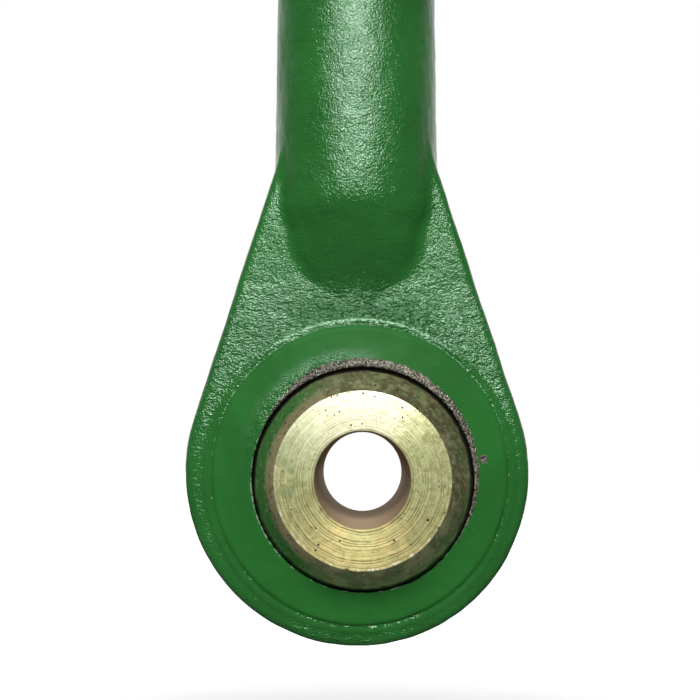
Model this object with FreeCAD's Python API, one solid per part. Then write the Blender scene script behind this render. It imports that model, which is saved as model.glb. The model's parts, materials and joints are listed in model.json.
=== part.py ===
import FreeCAD, Part

import math
import os

# Tractor leveling arm, upright: +Z runs up the screw, +Y runs along the bore of the lower ball, +X points
# to the crank. The origin is the centre of the lower ball. Sizes are in millimetres.

V = FreeCAD.Vector
X_AXIS = V(1, 0, 0)
Y_AXIS = V(0, 1, 0)
Z_AXIS = V(0, 0, 1)

# Fits
running_gap = 0.05
ball_gap = 0.08
side_gap = 0.3
axial_play = 0.1

# Lower ball
pin_bore_r = 12.9
ball_width = 50.0
ball_face_r = 23.8
bore_chamfer = 1.2

# Eye of the lower forging
eye_r = 50.0
eye_rise = 2.5
plate_half = 13.0
draft_deg = 5.0
side_angle_deg = 17.0
side_blend_r = 70.0
plate_edge_round = 2.5
boss_foot_r = 42.0
boss_rise = 1.5
boss_wall_height = 2.2
boss_wall_slope = 1.0
boss_foot_round = 1.0
dome_bulge = 0.3
lip_half = 17.4
lip_chamfer = 0.5

# Barrel of the lower forging
barrel_r = 25.2
foot_z = 62.0
foot_round = 14.0
mouth_z = 300.0
collar_r = 29.0
collar_height = 22.0
collar_slope = 4.0
mouth_chamfer = 1.5
chamber_r = 16.7
chamber_floor_z = 98.0
drill_point = 6.0

# Wiper seal in the barrel's mouth
seal_r = 21.0
seal_height = 8.0

# Trapezoidal thread of the leveling screw
thread_major_r = 16.0
thread_depth = 3.25
thread_pitch = 6.0
thread_crest = 2.14
thread_root = 3.88
thread_gap = 0.25
nut_thread_length = 70.0
thread_runout = 4.5
thread_root_overlap = 0.15

# Leveling screw
screw_end_z = 150.0
screw_collar = 5.0
screw_end_chamfer = 2.5
journal_r = 14.0
gear_seat_r = 12.0
stud_r = 10.0
exposed_length = 52.0

# Thrust washers and thrust bearing
thrust_washer_r = 22.0
thrust_washer_height = 3.0
neck_bush_wall = 3.0
neck_height = 19.0
race_r = 26.5
race_height = 4.0
race_bore_gap = 0.25
bearing_ball_r = 3.5
bearing_ball_count = 12
bearing_circle_r = 20.4
groove_depth = 0.6
groove_gap = 0.05
cage_height = 2.6
cage_wall = 1.0

# Bevel gears
gear_module = 3.0
pinion_teeth = 16
gear_teeth = 24
pressure_deg = 20.0
face_width = 12.0
pinion_addendum = 3.1
gear_addendum = 2.3
root_clearance = 0.6
tooth_shift = 0.3
tooth_backlash = 0.2
gear_end_lip = 0.4
gear_web = 9.0
gear_hub_back_r = 28.0
key_width = 5.0
key_depth = 2.4
key_length = 12.0
gear_nut_height = 11.0
gear_nut_flats = 30.0
pinion_bore_r = 8.0
pinion_hub_r = 15.0
pinion_hub_length = 8.0
roll_pin_r = 2.5

# Gear housing
housing_wall = 6.0
cavity_gap = 2.7
neck_r = 27.0
neck_flare = 12.0
flange_height = 10.0
pocket_gap = 1.6
snout_r = 22.0
snout_root_wall = 6.5
shaft_r = 11.0
shaft_bush_wall = 3.5
shaft_bush_length = 38.0
shaft_seal_wall = 6.0
shaft_seal_width = 8.0
shaft_washer_r = 19.0
shaft_washer_width = 2.0
cap_bolt_r = 5.0
cap_bolt_inner_wall = 4.5
cap_bolt_edge = 10.0
cap_bolt_count = 4
cap_bolt_grip = 14.0
cap_bolt_boss_r = 9.0
cap_bolt_boss_depth = 26.0
cap_bolt_flats = 16.0
cap_bolt_head = 6.4
cap_washer_r = 10.0
cap_washer_height = 2.0
bolt_hole_gap = 0.5
gasket_height = 1.0
cap_height = 12.0
plug_r = 6.0
plug_flats = 17.0
plug_head = 6.0
fitting_r = 3.0
fitting_flats = 9.0
fitting_depth = 7.0

# Pivot between the cap and the yoke
pivot_r = 10.0
pivot_rise = 28.0
lug_half_width = 15.0
lug_r = 24.0
pivot_bush_wall = 3.0
pivot_bush_split = 1.0

# Upper yoke
yoke_ear_width = 14.0
yoke_web_gap = 3.0
yoke_web_height = 15.0
fork_gap = 40.0
fork_ear_width = 14.0
fork_ear_r = 27.0
fork_bore_rise = 41.0
lift_pin_bore_r = 12.9
fork_edge_round = 2.0
pivot_washer_r = 18.0
pivot_washer_width = 3.0
pivot_flats = 30.0
pivot_head = 12.0
pivot_nut_width = 16.0
pivot_end = 4.0
cotter_r = 2.0
cotter_overhang = 5.0

# Crank and its grip
crank_washer_width = 3.0
crank_hub_r = 18.0
crank_hub_width = 20.0
crank_throw = 160.0
crank_bar_width_hub = 28.0
crank_bar_width_end = 20.0
crank_bar_thickness = 10.0
crank_end_boss_r = 14.0
crank_end_boss_width = 16.0
shaft_end_proud = 2.0
spindle_r = 6.5
grip_length = 88.0
grip_r = 15.0
grip_waist = 2.0
grip_washer_r = 11.0
grip_washer_width = 2.0
spindle_tail = 8.0
split_pin_r = 1.6

# Places that follow from the sizes above
ball_r = math.hypot(ball_face_r, ball_width / 2)
socket_r = ball_r + ball_gap
thread_root_r = thread_major_r - thread_depth
thread_top_z = mouth_z + exposed_length
neck_bottom_z = thread_top_z + thrust_washer_height + axial_play
cavity_floor_z = neck_bottom_z + neck_height
race_gap_height = 2 * (bearing_ball_r - groove_depth + groove_gap)
upper_race_z = cavity_floor_z + race_height + race_gap_height
gear_back_z = upper_race_z + race_height
gear_pitch_r = gear_module * gear_teeth / 2
pinion_pitch_r = gear_module * pinion_teeth / 2
cone_distance = math.hypot(gear_pitch_r, pinion_pitch_r)
gear_angle = math.atan2(gear_teeth, pinion_teeth)
pinion_angle = math.atan2(pinion_teeth, gear_teeth)
gear_root_depth = pinion_addendum + root_clearance
pinion_root_depth = gear_addendum + root_clearance
crank_z = gear_back_z + gear_web + gear_root_depth * math.sin(gear_angle) + pinion_pitch_r
small_end = (cone_distance - face_width) / cone_distance
blank_small_end = small_end - gear_end_lip / cone_distance
blank_large_end = 1 + gear_end_lip / cone_distance
gear_hub_top_z = crank_z - blank_small_end * (pinion_pitch_r + gear_root_depth * math.sin(gear_angle))
cavity_r = gear_pitch_r + gear_addendum * math.cos(gear_angle) + cavity_gap
pocket_r = pinion_pitch_r + pinion_addendum * math.cos(pinion_angle) + pocket_gap
housing_r = cavity_r + housing_wall
cap_bolt_circle_r = cavity_r + cap_bolt_inner_wall + bolt_hole_gap + cap_bolt_r
flange_r = cap_bolt_circle_r + cap_bolt_edge
housing_top_z = crank_z + pocket_r
cap_bottom_z = housing_top_z + gasket_height
cap_top_z = cap_bottom_z + cap_height
pivot_z = cap_top_z + pivot_rise
pinion_back_x = gear_pitch_r + pinion_hub_length
pocket_x = pinion_back_x + shaft_washer_width
bush_end_x = pocket_x + shaft_bush_length
snout_x = bush_end_x + shaft_seal_width
crank_hub_x = snout_x + crank_washer_width + side_gap
spindle_x = crank_hub_x + crank_hub_width
grip_x = spindle_x + side_gap
spindle_z = crank_z - crank_throw
lift_pin_z = pivot_z + lug_r + yoke_web_gap + yoke_web_height + fork_bore_rise
yoke_inner_x = lug_half_width + side_gap
yoke_outer_x = yoke_inner_x + yoke_ear_width


def rod(radius, length, base, axis):
    """A plain round rod that starts at base."""
    return Part.makeCylinder(radius, length, base, axis)


def ring(outer_r, inner_r, length, base, axis):
    """A washer, bush or tube that starts at base."""
    return rod(outer_r, length, base, axis).cut(rod(inner_r, length, base, axis))


def block(x_from, x_to, y_from, y_to, z_from, z_to):
    """A box between two corners."""
    return Part.makeBox(x_to - x_from, y_to - y_from, z_to - z_from, V(x_from, y_from, z_from))


def loop(place, start, *steps):
    """A closed wire: a step is a point for a straight edge, or a (middle, end) pair for an arc."""
    edges = []
    here = start
    for step in steps:
        curved = isinstance(step[0], tuple)
        end = step[1] if curved else step
        if curved:
            edges.append(Part.Arc(place(*here), place(*step[0]), place(*end)).toShape())
        else:
            edges.append(Part.makeLine(place(*here), place(*end)))
        here = end
    if place(*here).distanceToPoint(place(*start)) > 1e-7:
        edges.append(Part.makeLine(place(*here), place(*start)))
    return Part.Wire(edges)


def turned(axis, base, start, *steps):
    """A solid of revolution from a (radius, height) profile about an axis through base."""
    radial = Z_AXIS if abs(axis.z) < 0.5 else X_AXIS
    profile = loop(lambda r, h: base + radial * r + axis * h, start, *steps)
    return Part.Face(profile).revolve(base, axis, 360)


def hexagon(flats, height, base, axis):
    """A hexagonal prism for a bolt head or nut."""
    circle = Part.makeCircle(flats / math.sqrt(3), base, axis)
    corners = circle.discretize(7)
    return Part.Face(Part.makePolygon(corners)).extrude(axis * height)


def chamfered_hexagon(flats, height, base, axis):
    """A hexagonal prism whose corners are turned back at both ends."""
    corner_r = flats / math.sqrt(3)
    bevel = corner_r - flats / 2 + 0.3
    drop = bevel * math.tan(math.radians(30))
    envelope = turned(
        axis, base,
        (0, 0), (corner_r - bevel, 0), (corner_r, drop), (corner_r, height - drop),
        (corner_r - bevel, height), (0, height),
    )
    return hexagon(flats, height, base, axis).common(envelope)


def arc_middle(start, end, bulge):
    """The middle of an arc between two profile points, bulged to the left of start-to-end."""
    run = (end[0] - start[0], end[1] - start[1])
    length = math.hypot(*run)
    return (
        (start[0] + end[0]) / 2 - bulge * run[1] / length,
        (start[1] + end[1]) / 2 + bulge * run[0] / length,
    )


def round_corner(centre, radius, degrees):
    """A profile point on a rounding arc."""
    angle = math.radians(degrees)
    return (centre[0] + radius * math.cos(angle), centre[1] + radius * math.sin(angle))


def thread_ridge(root_r, crest_r, root_width, crest_width, z_from, z_to, phase_z):
    """One helical ridge of trapezoidal section about Z. It crosses the +X side at height phase_z."""
    helix = Part.makeHelix(thread_pitch, z_to - z_from, root_r)
    start_deg = 360 * ((z_from - phase_z) / thread_pitch % 1)
    section = Part.makePolygon([
        V(root_r, 0, -root_width / 2),
        V(crest_r, 0, -crest_width / 2),
        V(crest_r, 0, crest_width / 2),
        V(root_r, 0, root_width / 2),
        V(root_r, 0, -root_width / 2),
    ])
    ridge = Part.Wire(helix).makePipeShell([section], True, True)
    ridge.Placement = FreeCAD.Placement(V(0, 0, z_from), FreeCAD.Rotation(Z_AXIS, start_deg))
    return ridge


def tooth_half_width(radius, pitch_r, half_at_pitch):
    """Half the thickness of an involute tooth at a radius of its virtual spur gear."""
    base_r = pitch_r * math.cos(math.radians(pressure_deg))
    reach = max(radius, base_r)
    at_pitch = math.tan(math.radians(pressure_deg)) - math.radians(pressure_deg)
    slope = math.acos(base_r / reach)
    return radius * (half_at_pitch / pitch_r + at_pitch - (math.tan(slope) - slope))


def bevel_teeth(teeth, pitch_r, cone_angle, addendum, root_depth, half_at_pitch, apex, axis, first_deg, side):
    """Straight bevel teeth about an axis through the apex. axis points from the apex to the large end."""
    virtual_r = pitch_r / math.cos(cone_angle)
    sunk = 0.5
    heights = [-root_depth - sunk, -root_depth, -root_depth / 2, 0, addendum / 2, addendum]
    halves = [tooth_half_width(virtual_r + h, virtual_r, half_at_pitch) for h in heights]
    made = []
    for n in range(teeth):
        turn = FreeCAD.Rotation(axis, first_deg + 360 * n / teeth)
        radial = turn.multVec(side)
        across = axis.cross(radial)
        pitch_point = axis * (cone_distance * math.cos(cone_angle)) + radial * pitch_r
        up = radial * math.cos(cone_angle) - axis * math.sin(cone_angle)
        right = [pitch_point + up * h + across * w for h, w in zip(heights, halves)]
        left = [pitch_point + up * h - across * w for h, w in zip(heights, halves)]
        made.append(wedge(right + left[::-1], apex, small_end))
    return made


def wedge(corners, apex, scale):
    """A solid between a flat outline of points around the apex and its smaller copy, with flat sides."""
    large = [apex + p for p in corners]
    small = [apex + p * scale for p in corners]
    faces = [Part.Face(Part.makePolygon(end + end[:1])) for end in (large, small)]
    for n in range(len(corners)):
        nxt = (n + 1) % len(corners)
        faces.append(Part.Face(Part.makePolygon([large[n], large[nxt], small[nxt], small[n], large[n]])))
    solid = Part.Solid(Part.Shell(faces))
    if solid.Volume < 0:
        solid.reverse()
    return solid


def on_circle(count, radius, z, first_deg):
    """Points spread evenly on a level circle."""
    angles = [math.radians(first_deg + 360 * n / count) for n in range(count)]
    return [V(radius * math.cos(a), radius * math.sin(a), z) for a in angles]


def ball_bushing():
    half = ball_width / 2
    return turned(
        Y_AXIS, V(0, 0, 0),
        (pin_bore_r, bore_chamfer - half), (pin_bore_r + bore_chamfer, -half), (ball_face_r, -half),
        ((ball_r, 0), (ball_face_r, half)), (pin_bore_r + bore_chamfer, half),
        (pin_bore_r, half - bore_chamfer),
    )


def plate_outline(y, inset, shank_half, top_z):
    """The eye's outline at one depth: a round end, straight sides and a blend into the shank."""
    radius = eye_r - inset
    angle = math.radians(side_angle_deg)
    normal = (math.cos(angle), math.sin(angle))
    touch = (radius * normal[0], eye_rise + radius * normal[1])
    blend_x = shank_half + side_blend_r
    reach = side_blend_r + radius + normal[1] * eye_rise
    blend_z = (reach - normal[0] * blend_x) / normal[1]
    blend_start = (blend_x - side_blend_r * normal[0], blend_z - side_blend_r * normal[1])
    half_angle = angle / 2
    blend_middle = (
        blend_x - side_blend_r * math.cos(half_angle),
        blend_z - side_blend_r * math.sin(half_angle),
    )

    def mirrored(point):
        return (-point[0], point[1])

    return loop(
        lambda x, z: V(x, y, z),
        touch, blend_start, (blend_middle, (shank_half, blend_z)), (shank_half, top_z),
        (-shank_half, top_z), (-shank_half, blend_z), (mirrored(blend_middle), mirrored(blend_start)),
        mirrored(touch), ((0, eye_rise - radius), touch),
    )


def plate_half_solid(side):
    """One drafted half of the flat eye, on one side of the parting plane, with its face edge rounded."""
    shank_at_face = math.sqrt(barrel_r**2 - plate_half**2)
    top_z = foot_z + 4 * foot_round
    inset = plate_half * math.tan(math.radians(draft_deg))
    half = Part.makeLoft(
        [plate_outline(0, 0, barrel_r - 0.05, top_z), plate_outline(side * plate_half, inset, shank_at_face, top_z)],
        True, True,
    )
    rim = [
        e for e in half.Edges
        if abs(e.BoundBox.YMin - side * plate_half) < 0.01
        and abs(e.BoundBox.YMax - side * plate_half) < 0.01
        and e.BoundBox.ZMin < top_z - 1
    ]
    return half.makeFillet(plate_edge_round, rim)


def boss():
    """The raised ring around the socket: a low wall and a shallow dome up to the lip, on both faces."""
    edge = (boss_foot_r - boss_wall_slope, plate_half + boss_wall_height)
    lip_r = math.sqrt(socket_r**2 - lip_half**2)
    top = (lip_r - boss_rise, lip_half)
    flare = (boss_foot_r + boss_foot_round, plate_half)
    foot = (boss_foot_r - boss_wall_slope * 0.45, plate_half + boss_foot_round)

    def flip(point):
        return (point[0], -point[1])

    foot_middle = arc_middle(flare, foot, 0.25 * boss_foot_round)
    dome_middle = arc_middle(edge, top, -dome_bulge)
    return turned(
        Y_AXIS, V(0, 0, boss_rise),
        (0, -lip_half), flip(top), (flip(dome_middle), flip(edge)), flip(foot), (flip(foot_middle), flip(flare)),
        flare, (foot_middle, foot), edge, (dome_middle, top), (0, lip_half),
    )


def barrel_solid():
    """The round shank: a blunt rounded foot on the eye, and a collar at the mouth."""
    collar_z = mouth_z - collar_height
    round_centre = (barrel_r - foot_round, foot_z + foot_round)
    return turned(
        Z_AXIS, V(0, 0, 0),
        (0, foot_z), (barrel_r - foot_round, foot_z),
        (round_corner(round_centre, foot_round, -45), (barrel_r, foot_z + foot_round)),
        (barrel_r, collar_z - collar_slope), (collar_r, collar_z), (collar_r, mouth_z - mouth_chamfer),
        (collar_r - mouth_chamfer, mouth_z), (0, mouth_z),
    )


def barrel_bore():
    """What is bored out of the barrel: the seal's seat, the threaded length and the chamber behind it."""
    thread_end_z = mouth_z - seal_height - nut_thread_length
    groove_r = thread_major_r + thread_gap
    seat_z = mouth_z - seal_height
    return turned(
        Z_AXIS, V(0, 0, 0),
        (0, chamber_floor_z - drill_point), (chamber_r, chamber_floor_z), (chamber_r, thread_end_z),
        (groove_r, thread_end_z), (groove_r, seat_z), (seal_r, seat_z), (seal_r, mouth_z + 1),
        (0, mouth_z + 1),
    )


def nut_ridge():
    """The barrel's own thread, half a pitch out of step with the screw's ridge and clear of it all round."""
    flank_slope = (thread_root - thread_crest) / thread_depth
    side_clearance = 2 * thread_gap / math.cos(math.radians(15))
    outer_r = thread_major_r + thread_gap + thread_root_overlap
    inner_r = thread_root_r + thread_gap

    def ridge_width(radius):
        screw_width = thread_crest + flank_slope * (thread_major_r - radius)
        return thread_pitch - screw_width - side_clearance

    seat_z = mouth_z - seal_height
    return thread_ridge(
        outer_r, inner_r, ridge_width(outer_r), ridge_width(inner_r),
        seat_z - nut_thread_length + thread_pitch, seat_z - thread_pitch / 2, thread_pitch / 2,
    )


def lower_barrel():
    solid = plate_half_solid(-1).fuse([plate_half_solid(1), boss(), barrel_solid()]).removeSplitter()
    lip_r = math.sqrt(socket_r**2 - lip_half**2)
    solid = solid.cut(Part.makeSphere(socket_r))
    for side in (-1, 1):
        solid = solid.cut(turned(
            Y_AXIS * side, V(0, 0, 0),
            (0, lip_half - 2), (lip_r + lip_chamfer - 2, lip_half - 2), (lip_r + lip_chamfer + 2, lip_half + 2),
            (0, lip_half + 2),
        ))
    grease_hole = rod(fitting_r, barrel_r, V(-barrel_r - 1, 0, barrel_fitting_z()), X_AXIS)
    return solid.cut(barrel_bore()).cut(grease_hole).fuse(nut_ridge())


def barrel_fitting_z():
    """The height of the barrel's grease fitting: halfway along the threaded length."""
    return mouth_z - seal_height - nut_thread_length / 2


def grease_fitting(seat, outward):
    """A grease nipple screwed into a hole: shank, hexagon, neck and ball-shaped tip."""
    across = fitting_flats / 2
    body = turned(
        outward, seat,
        (0, -fitting_depth), (fitting_r, -fitting_depth), (fitting_r, across), (fitting_r * 0.75, across + 1),
        (fitting_r * 0.75, across + 2.5), (fitting_r, across + 4), (fitting_r, across + 5),
        (fitting_r * 0.5, across + 6.5), (0, across + 6.5),
    )
    return body.fuse(chamfered_hexagon(fitting_flats, across, seat, outward))


def leveling_screw():
    seat_top_z = gear_hub_top_z
    collar_z = thread_top_z - screw_collar
    body = turned(
        Z_AXIS, V(0, 0, 0),
        (0, screw_end_z), (thread_root_r - 1, screw_end_z), (thread_root_r, screw_end_z + 1),
        (thread_root_r, collar_z), (thread_major_r, collar_z), (thread_major_r, thread_top_z),
        (journal_r, thread_top_z), (journal_r, gear_back_z), (gear_seat_r, gear_back_z),
        (gear_seat_r, seat_top_z), (stud_r, seat_top_z), (stud_r, seat_top_z + gear_nut_height + 1),
        (stud_r - 1, seat_top_z + gear_nut_height + 2), (0, seat_top_z + gear_nut_height + 2),
    )
    ridge = thread_ridge(
        thread_root_r - thread_root_overlap, thread_major_r, thread_root, thread_crest,
        screw_end_z + thread_pitch / 2, collar_z - thread_runout, 0,
    )
    envelope = turned(
        Z_AXIS, V(0, 0, 0),
        (0, screw_end_z), (thread_major_r - screw_end_chamfer, screw_end_z),
        (thread_major_r + 1, screw_end_z + screw_end_chamfer + 1), (thread_major_r + 1, thread_top_z),
        (0, thread_top_z),
    )
    screw = body.fuse(ridge.common(envelope))
    key_slot = block(
        gear_seat_r - key_depth, gear_seat_r + 1, -key_width / 2, key_width / 2,
        gear_back_z, gear_back_z + key_length,
    )
    return screw.cut(key_slot).cut(gear_nut_pin())


def driven_gear():
    apex = V(0, 0, crank_z)
    down = Z_AXIS * -1

    def on_back_cone(depth):
        return (gear_pitch_r - depth * math.cos(gear_angle), pinion_pitch_r + depth * math.sin(gear_angle))

    root = on_back_cone(gear_root_depth)
    back = crank_z - gear_back_z
    hub_top = crank_z - gear_hub_top_z
    blank = turned(
        down, apex,
        (gear_seat_r, back), (gear_hub_back_r, back), (root[0] - 2, back - 3),
        (root[0] * blank_large_end, root[1] * blank_large_end), (root[0] * blank_small_end, hub_top),
        (gear_seat_r, hub_top),
    )
    half_tooth = (math.pi * gear_module / 2 - tooth_shift - tooth_backlash) / 2
    teeth = bevel_teeth(
        gear_teeth, gear_pitch_r, gear_angle, gear_addendum, gear_root_depth, half_tooth,
        apex, down, 180 / gear_teeth, X_AXIS,
    )
    return blank.fuse(teeth).removeSplitter().cut(gear_key())


def gear_key():
    return block(
        gear_seat_r - key_depth, gear_seat_r + key_depth, -key_width / 2, key_width / 2,
        gear_back_z, gear_back_z + key_length,
    )


def gear_nut():
    base = V(0, 0, gear_hub_top_z)
    nut = chamfered_hexagon(gear_nut_flats, gear_nut_height, base, Z_AXIS)
    return nut.cut(rod(stud_r, gear_nut_height, base, Z_AXIS)).cut(gear_nut_pin())


def gear_nut_pin():
    """The roll pin through the gear nut and the screw's stud."""
    length = gear_nut_flats
    middle_z = gear_hub_top_z + gear_nut_height / 2
    return rod(roll_pin_r, length, V(0, -length / 2, middle_z), Y_AXIS)


def race_groove(z):
    """The torus that the bearing balls would sweep, with the groove's gap."""
    return Part.makeTorus(bearing_circle_r, bearing_ball_r + groove_gap, V(0, 0, z), Z_AXIS)


def bearing_middle_z():
    return cavity_floor_z + race_height + race_gap_height / 2


def lower_race():
    washer = ring(race_r, journal_r + race_bore_gap, race_height, V(0, 0, cavity_floor_z), Z_AXIS)
    return washer.cut(race_groove(bearing_middle_z()))


def upper_race():
    washer = ring(race_r - race_bore_gap, journal_r, race_height, V(0, 0, upper_race_z), Z_AXIS)
    return washer.cut(race_groove(bearing_middle_z()))


def bearing_balls():
    places = on_circle(bearing_ball_count, bearing_circle_r, bearing_middle_z(), 0)
    return Part.makeCompound([Part.makeSphere(bearing_ball_r, p) for p in places])


def bearing_cage():
    base = V(0, 0, bearing_middle_z() - cage_height / 2)
    reach = bearing_ball_r + cage_wall
    cage = ring(bearing_circle_r + reach, bearing_circle_r - reach, cage_height, base, Z_AXIS)
    for place in on_circle(bearing_ball_count, bearing_circle_r, bearing_middle_z(), 0):
        cage = cage.cut(Part.makeSphere(bearing_ball_r + groove_gap, place))
    return cage


def bevel_pinion():
    apex = V(0, 0, crank_z)
    root = (
        pinion_pitch_r - pinion_root_depth * math.cos(pinion_angle),
        gear_pitch_r + pinion_root_depth * math.sin(pinion_angle),
    )
    blank = turned(
        X_AXIS, apex,
        (pinion_bore_r, root[1] * blank_small_end), (root[0] * blank_small_end, root[1] * blank_small_end),
        (root[0] * blank_large_end, root[1] * blank_large_end), (pinion_hub_r, root[1] + 2),
        (pinion_hub_r, pinion_back_x), (pinion_bore_r, pinion_back_x),
    )
    half_tooth = (math.pi * gear_module / 2 + tooth_shift - tooth_backlash) / 2
    teeth = bevel_teeth(
        pinion_teeth, pinion_pitch_r, pinion_angle, pinion_addendum, pinion_root_depth, half_tooth,
        apex, X_AXIS, 180, Z_AXIS,
    )
    return blank.fuse(teeth).removeSplitter().cut(shaft_core()).cut(pinion_pin())


def shaft_core():
    """The thin inner end of the crank shaft, which the pinion sits on."""
    start_x = small_end * gear_pitch_r - 2
    return rod(pinion_bore_r, pinion_back_x - start_x, V(start_x, 0, crank_z), X_AXIS)


def pinion_pin():
    pin_x = pinion_back_x - pinion_hub_length / 2 + 0.5
    length = 2 * pinion_hub_r
    return rod(roll_pin_r, length, V(pin_x, -length / 2, crank_z), Y_AXIS)


def crank_shaft():
    outer_x = spindle_x + shaft_end_proud
    body = turned(
        X_AXIS, V(0, 0, crank_z),
        (0, pinion_back_x), (shaft_r, pinion_back_x), (shaft_r, outer_x - 1), (shaft_r - 1, outer_x), (0, outer_x),
    )
    return body.fuse(shaft_core()).removeSplitter().cut(pinion_pin()).cut(crank_pin())


def crank_pin():
    pin_x = crank_hub_x + crank_hub_width / 2
    length = 2 * crank_hub_r
    return rod(roll_pin_r, length, V(pin_x, -length / 2, crank_z), Y_AXIS)


def crank_arm():
    hub = rod(crank_hub_r, crank_hub_width, V(crank_hub_x, 0, crank_z), X_AXIS)
    end_x = spindle_x - crank_end_boss_width
    end_boss = rod(crank_end_boss_r, crank_end_boss_width, V(end_x, 0, spindle_z), X_AXIS)
    bar_x = spindle_x - crank_end_boss_width / 2 - crank_bar_thickness / 2
    bar = Part.Face(loop(
        lambda y, z: V(bar_x, y, z),
        (-crank_bar_width_hub / 2, crank_z), (crank_bar_width_hub / 2, crank_z),
        (crank_bar_width_end / 2, spindle_z), (-crank_bar_width_end / 2, spindle_z),
    )).extrude(X_AXIS * crank_bar_thickness)
    long_edges = [e for e in bar.Edges if e.Length > crank_throw * 0.9]
    bar = bar.makeFillet(crank_bar_thickness / 3, long_edges)
    arm = hub.fuse([end_boss, bar]).removeSplitter()
    arm = arm.cut(rod(shaft_r, crank_hub_width, V(crank_hub_x, 0, crank_z), X_AXIS))
    arm = arm.cut(rod(spindle_r, crank_end_boss_width, V(end_x, 0, spindle_z), X_AXIS))
    return arm.cut(crank_pin())


def split_pin_x():
    return grip_x + grip_length + grip_washer_width + side_gap + split_pin_r + 0.3


def handle_spindle():
    end_x = split_pin_x() + spindle_tail
    start_x = spindle_x - crank_end_boss_width
    body = turned(
        X_AXIS, V(0, 0, spindle_z),
        (0, start_x), (spindle_r, start_x), (spindle_r, end_x - 1.5), (spindle_r - 1.5, end_x), (0, end_x),
    )
    return body.cut(grip_split_pin())


def grip_split_pin():
    length = 2 * (spindle_r + 3.5)
    return rod(split_pin_r, length, V(split_pin_x(), -length / 2, spindle_z), Y_AXIS)


def hand_grip():
    bore_r = spindle_r + 2 * running_gap
    end_x = grip_x + grip_length
    round_r = grip_r / 3
    return turned(
        X_AXIS, V(0, 0, spindle_z),
        (bore_r, grip_x), (grip_r - round_r, grip_x),
        (round_corner((grip_r - round_r, grip_x + round_r), round_r, -45), (grip_r, grip_x + round_r)),
        ((grip_r - grip_waist, (grip_x + end_x) / 2), (grip_r, end_x - round_r)),
        (round_corner((grip_r - round_r, end_x - round_r), round_r, 45), (grip_r - round_r, end_x)),
        (bore_r, end_x),
    )


def cavity():
    """The room for the gears: a round well, and a pocket for the pinion that is open to the top."""
    well = rod(cavity_r, housing_top_z + 1 - cavity_floor_z, V(0, 0, cavity_floor_z), Z_AXIS)
    tunnel = rod(pocket_r, pocket_x, V(0, 0, crank_z), X_AXIS)
    way_in = block(0, pocket_x, -pocket_r, pocket_r, crank_z, housing_top_z + 1)
    return well.fuse([tunnel, way_in])


def cap_bolt_places(z):
    return on_circle(cap_bolt_count, cap_bolt_circle_r, z, 180 / cap_bolt_count)


def gear_housing():
    flare_top_z = neck_bottom_z + neck_flare
    case = turned(
        Z_AXIS, V(0, 0, 0),
        (0, neck_bottom_z), (neck_r - 1, neck_bottom_z), (neck_r, neck_bottom_z + 1),
        (neck_r, neck_bottom_z + 3), (housing_r, flare_top_z), (housing_r, housing_top_z - flange_height - 4),
        (housing_r + 4, housing_top_z - flange_height), (flange_r, housing_top_z - flange_height),
        (flange_r, housing_top_z), (0, housing_top_z),
    )
    root_r = pocket_r + snout_root_wall
    snout = turned(
        X_AXIS, V(0, 0, crank_z),
        (0, 0), (root_r, 0), (root_r, pocket_x + 4), (snout_r, pocket_x + 4 + root_r - snout_r),
        (snout_r, snout_x - 1), (snout_r - 1, snout_x), (0, snout_x),
    )
    limit = flange_r + snout_x
    above = block(-limit, limit, -limit, limit, housing_top_z, housing_top_z + limit)
    bosses = [
        rod(cap_bolt_boss_r, cap_bolt_boss_depth, p, Z_AXIS)
        for p in cap_bolt_places(housing_top_z - cap_bolt_boss_depth)
    ]
    plug_boss = rod(plug_flats / 2 + 2, housing_r + 2, V(0, 0, plug_z()), X_AXIS * -1)
    solid = case.fuse([snout, plug_boss] + bosses).cut(above).cut(cavity())
    solid = solid.cut(rod(journal_r + neck_bush_wall, neck_height + 1, V(0, 0, neck_bottom_z - 0.5), Z_AXIS))
    solid = solid.cut(rod(shaft_r + shaft_bush_wall, snout_x, V(0, 0, crank_z), X_AXIS))
    solid = solid.cut(rod(shaft_r + shaft_seal_wall, shaft_seal_width + 1, V(bush_end_x, 0, crank_z), X_AXIS))
    solid = solid.cut(rod(plug_r, housing_r + 3, V(0, 0, plug_z()), X_AXIS * -1))
    solid = solid.cut(rod(fitting_r, snout_r, snout_fitting_seat() - Z_AXIS * snout_r, Z_AXIS))
    for bolt in bolt_shanks():
        solid = solid.cut(bolt)
    return solid.removeSplitter()


def plug_z():
    return (gear_hub_top_z + crank_z) / 2


def snout_fitting_seat():
    return V((pocket_x + 4 + bush_end_x) / 2 + snout_root_wall, 0, crank_z + snout_r)


def filler_plug():
    seat = V(-housing_r - 2, 0, plug_z())
    shank = rod(plug_r, housing_wall, seat, X_AXIS)
    return shank.fuse(chamfered_hexagon(plug_flats, plug_head, seat, X_AXIS * -1))


def bolt_shanks():
    length = cap_height + gasket_height + cap_bolt_grip + cap_washer_height
    return [
        rod(cap_bolt_r, length, p - Z_AXIS * length, Z_AXIS)
        for p in cap_bolt_places(cap_top_z + cap_washer_height)
    ]


def cap_bolts():
    made = []
    for shank, seat in zip(bolt_shanks(), cap_bolt_places(cap_top_z + cap_washer_height)):
        made.append(shank.fuse(chamfered_hexagon(cap_bolt_flats, cap_bolt_head, seat, Z_AXIS)))
    return Part.makeCompound(made)


def cap_washers():
    bore_r = cap_bolt_r + bolt_hole_gap / 2
    return Part.makeCompound([
        ring(cap_washer_r, bore_r, cap_washer_height, p, Z_AXIS) for p in cap_bolt_places(cap_top_z)
    ])


def bolt_holes(z, height):
    return [rod(cap_bolt_r + bolt_hole_gap, height, p, Z_AXIS) for p in cap_bolt_places(z)]


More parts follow.
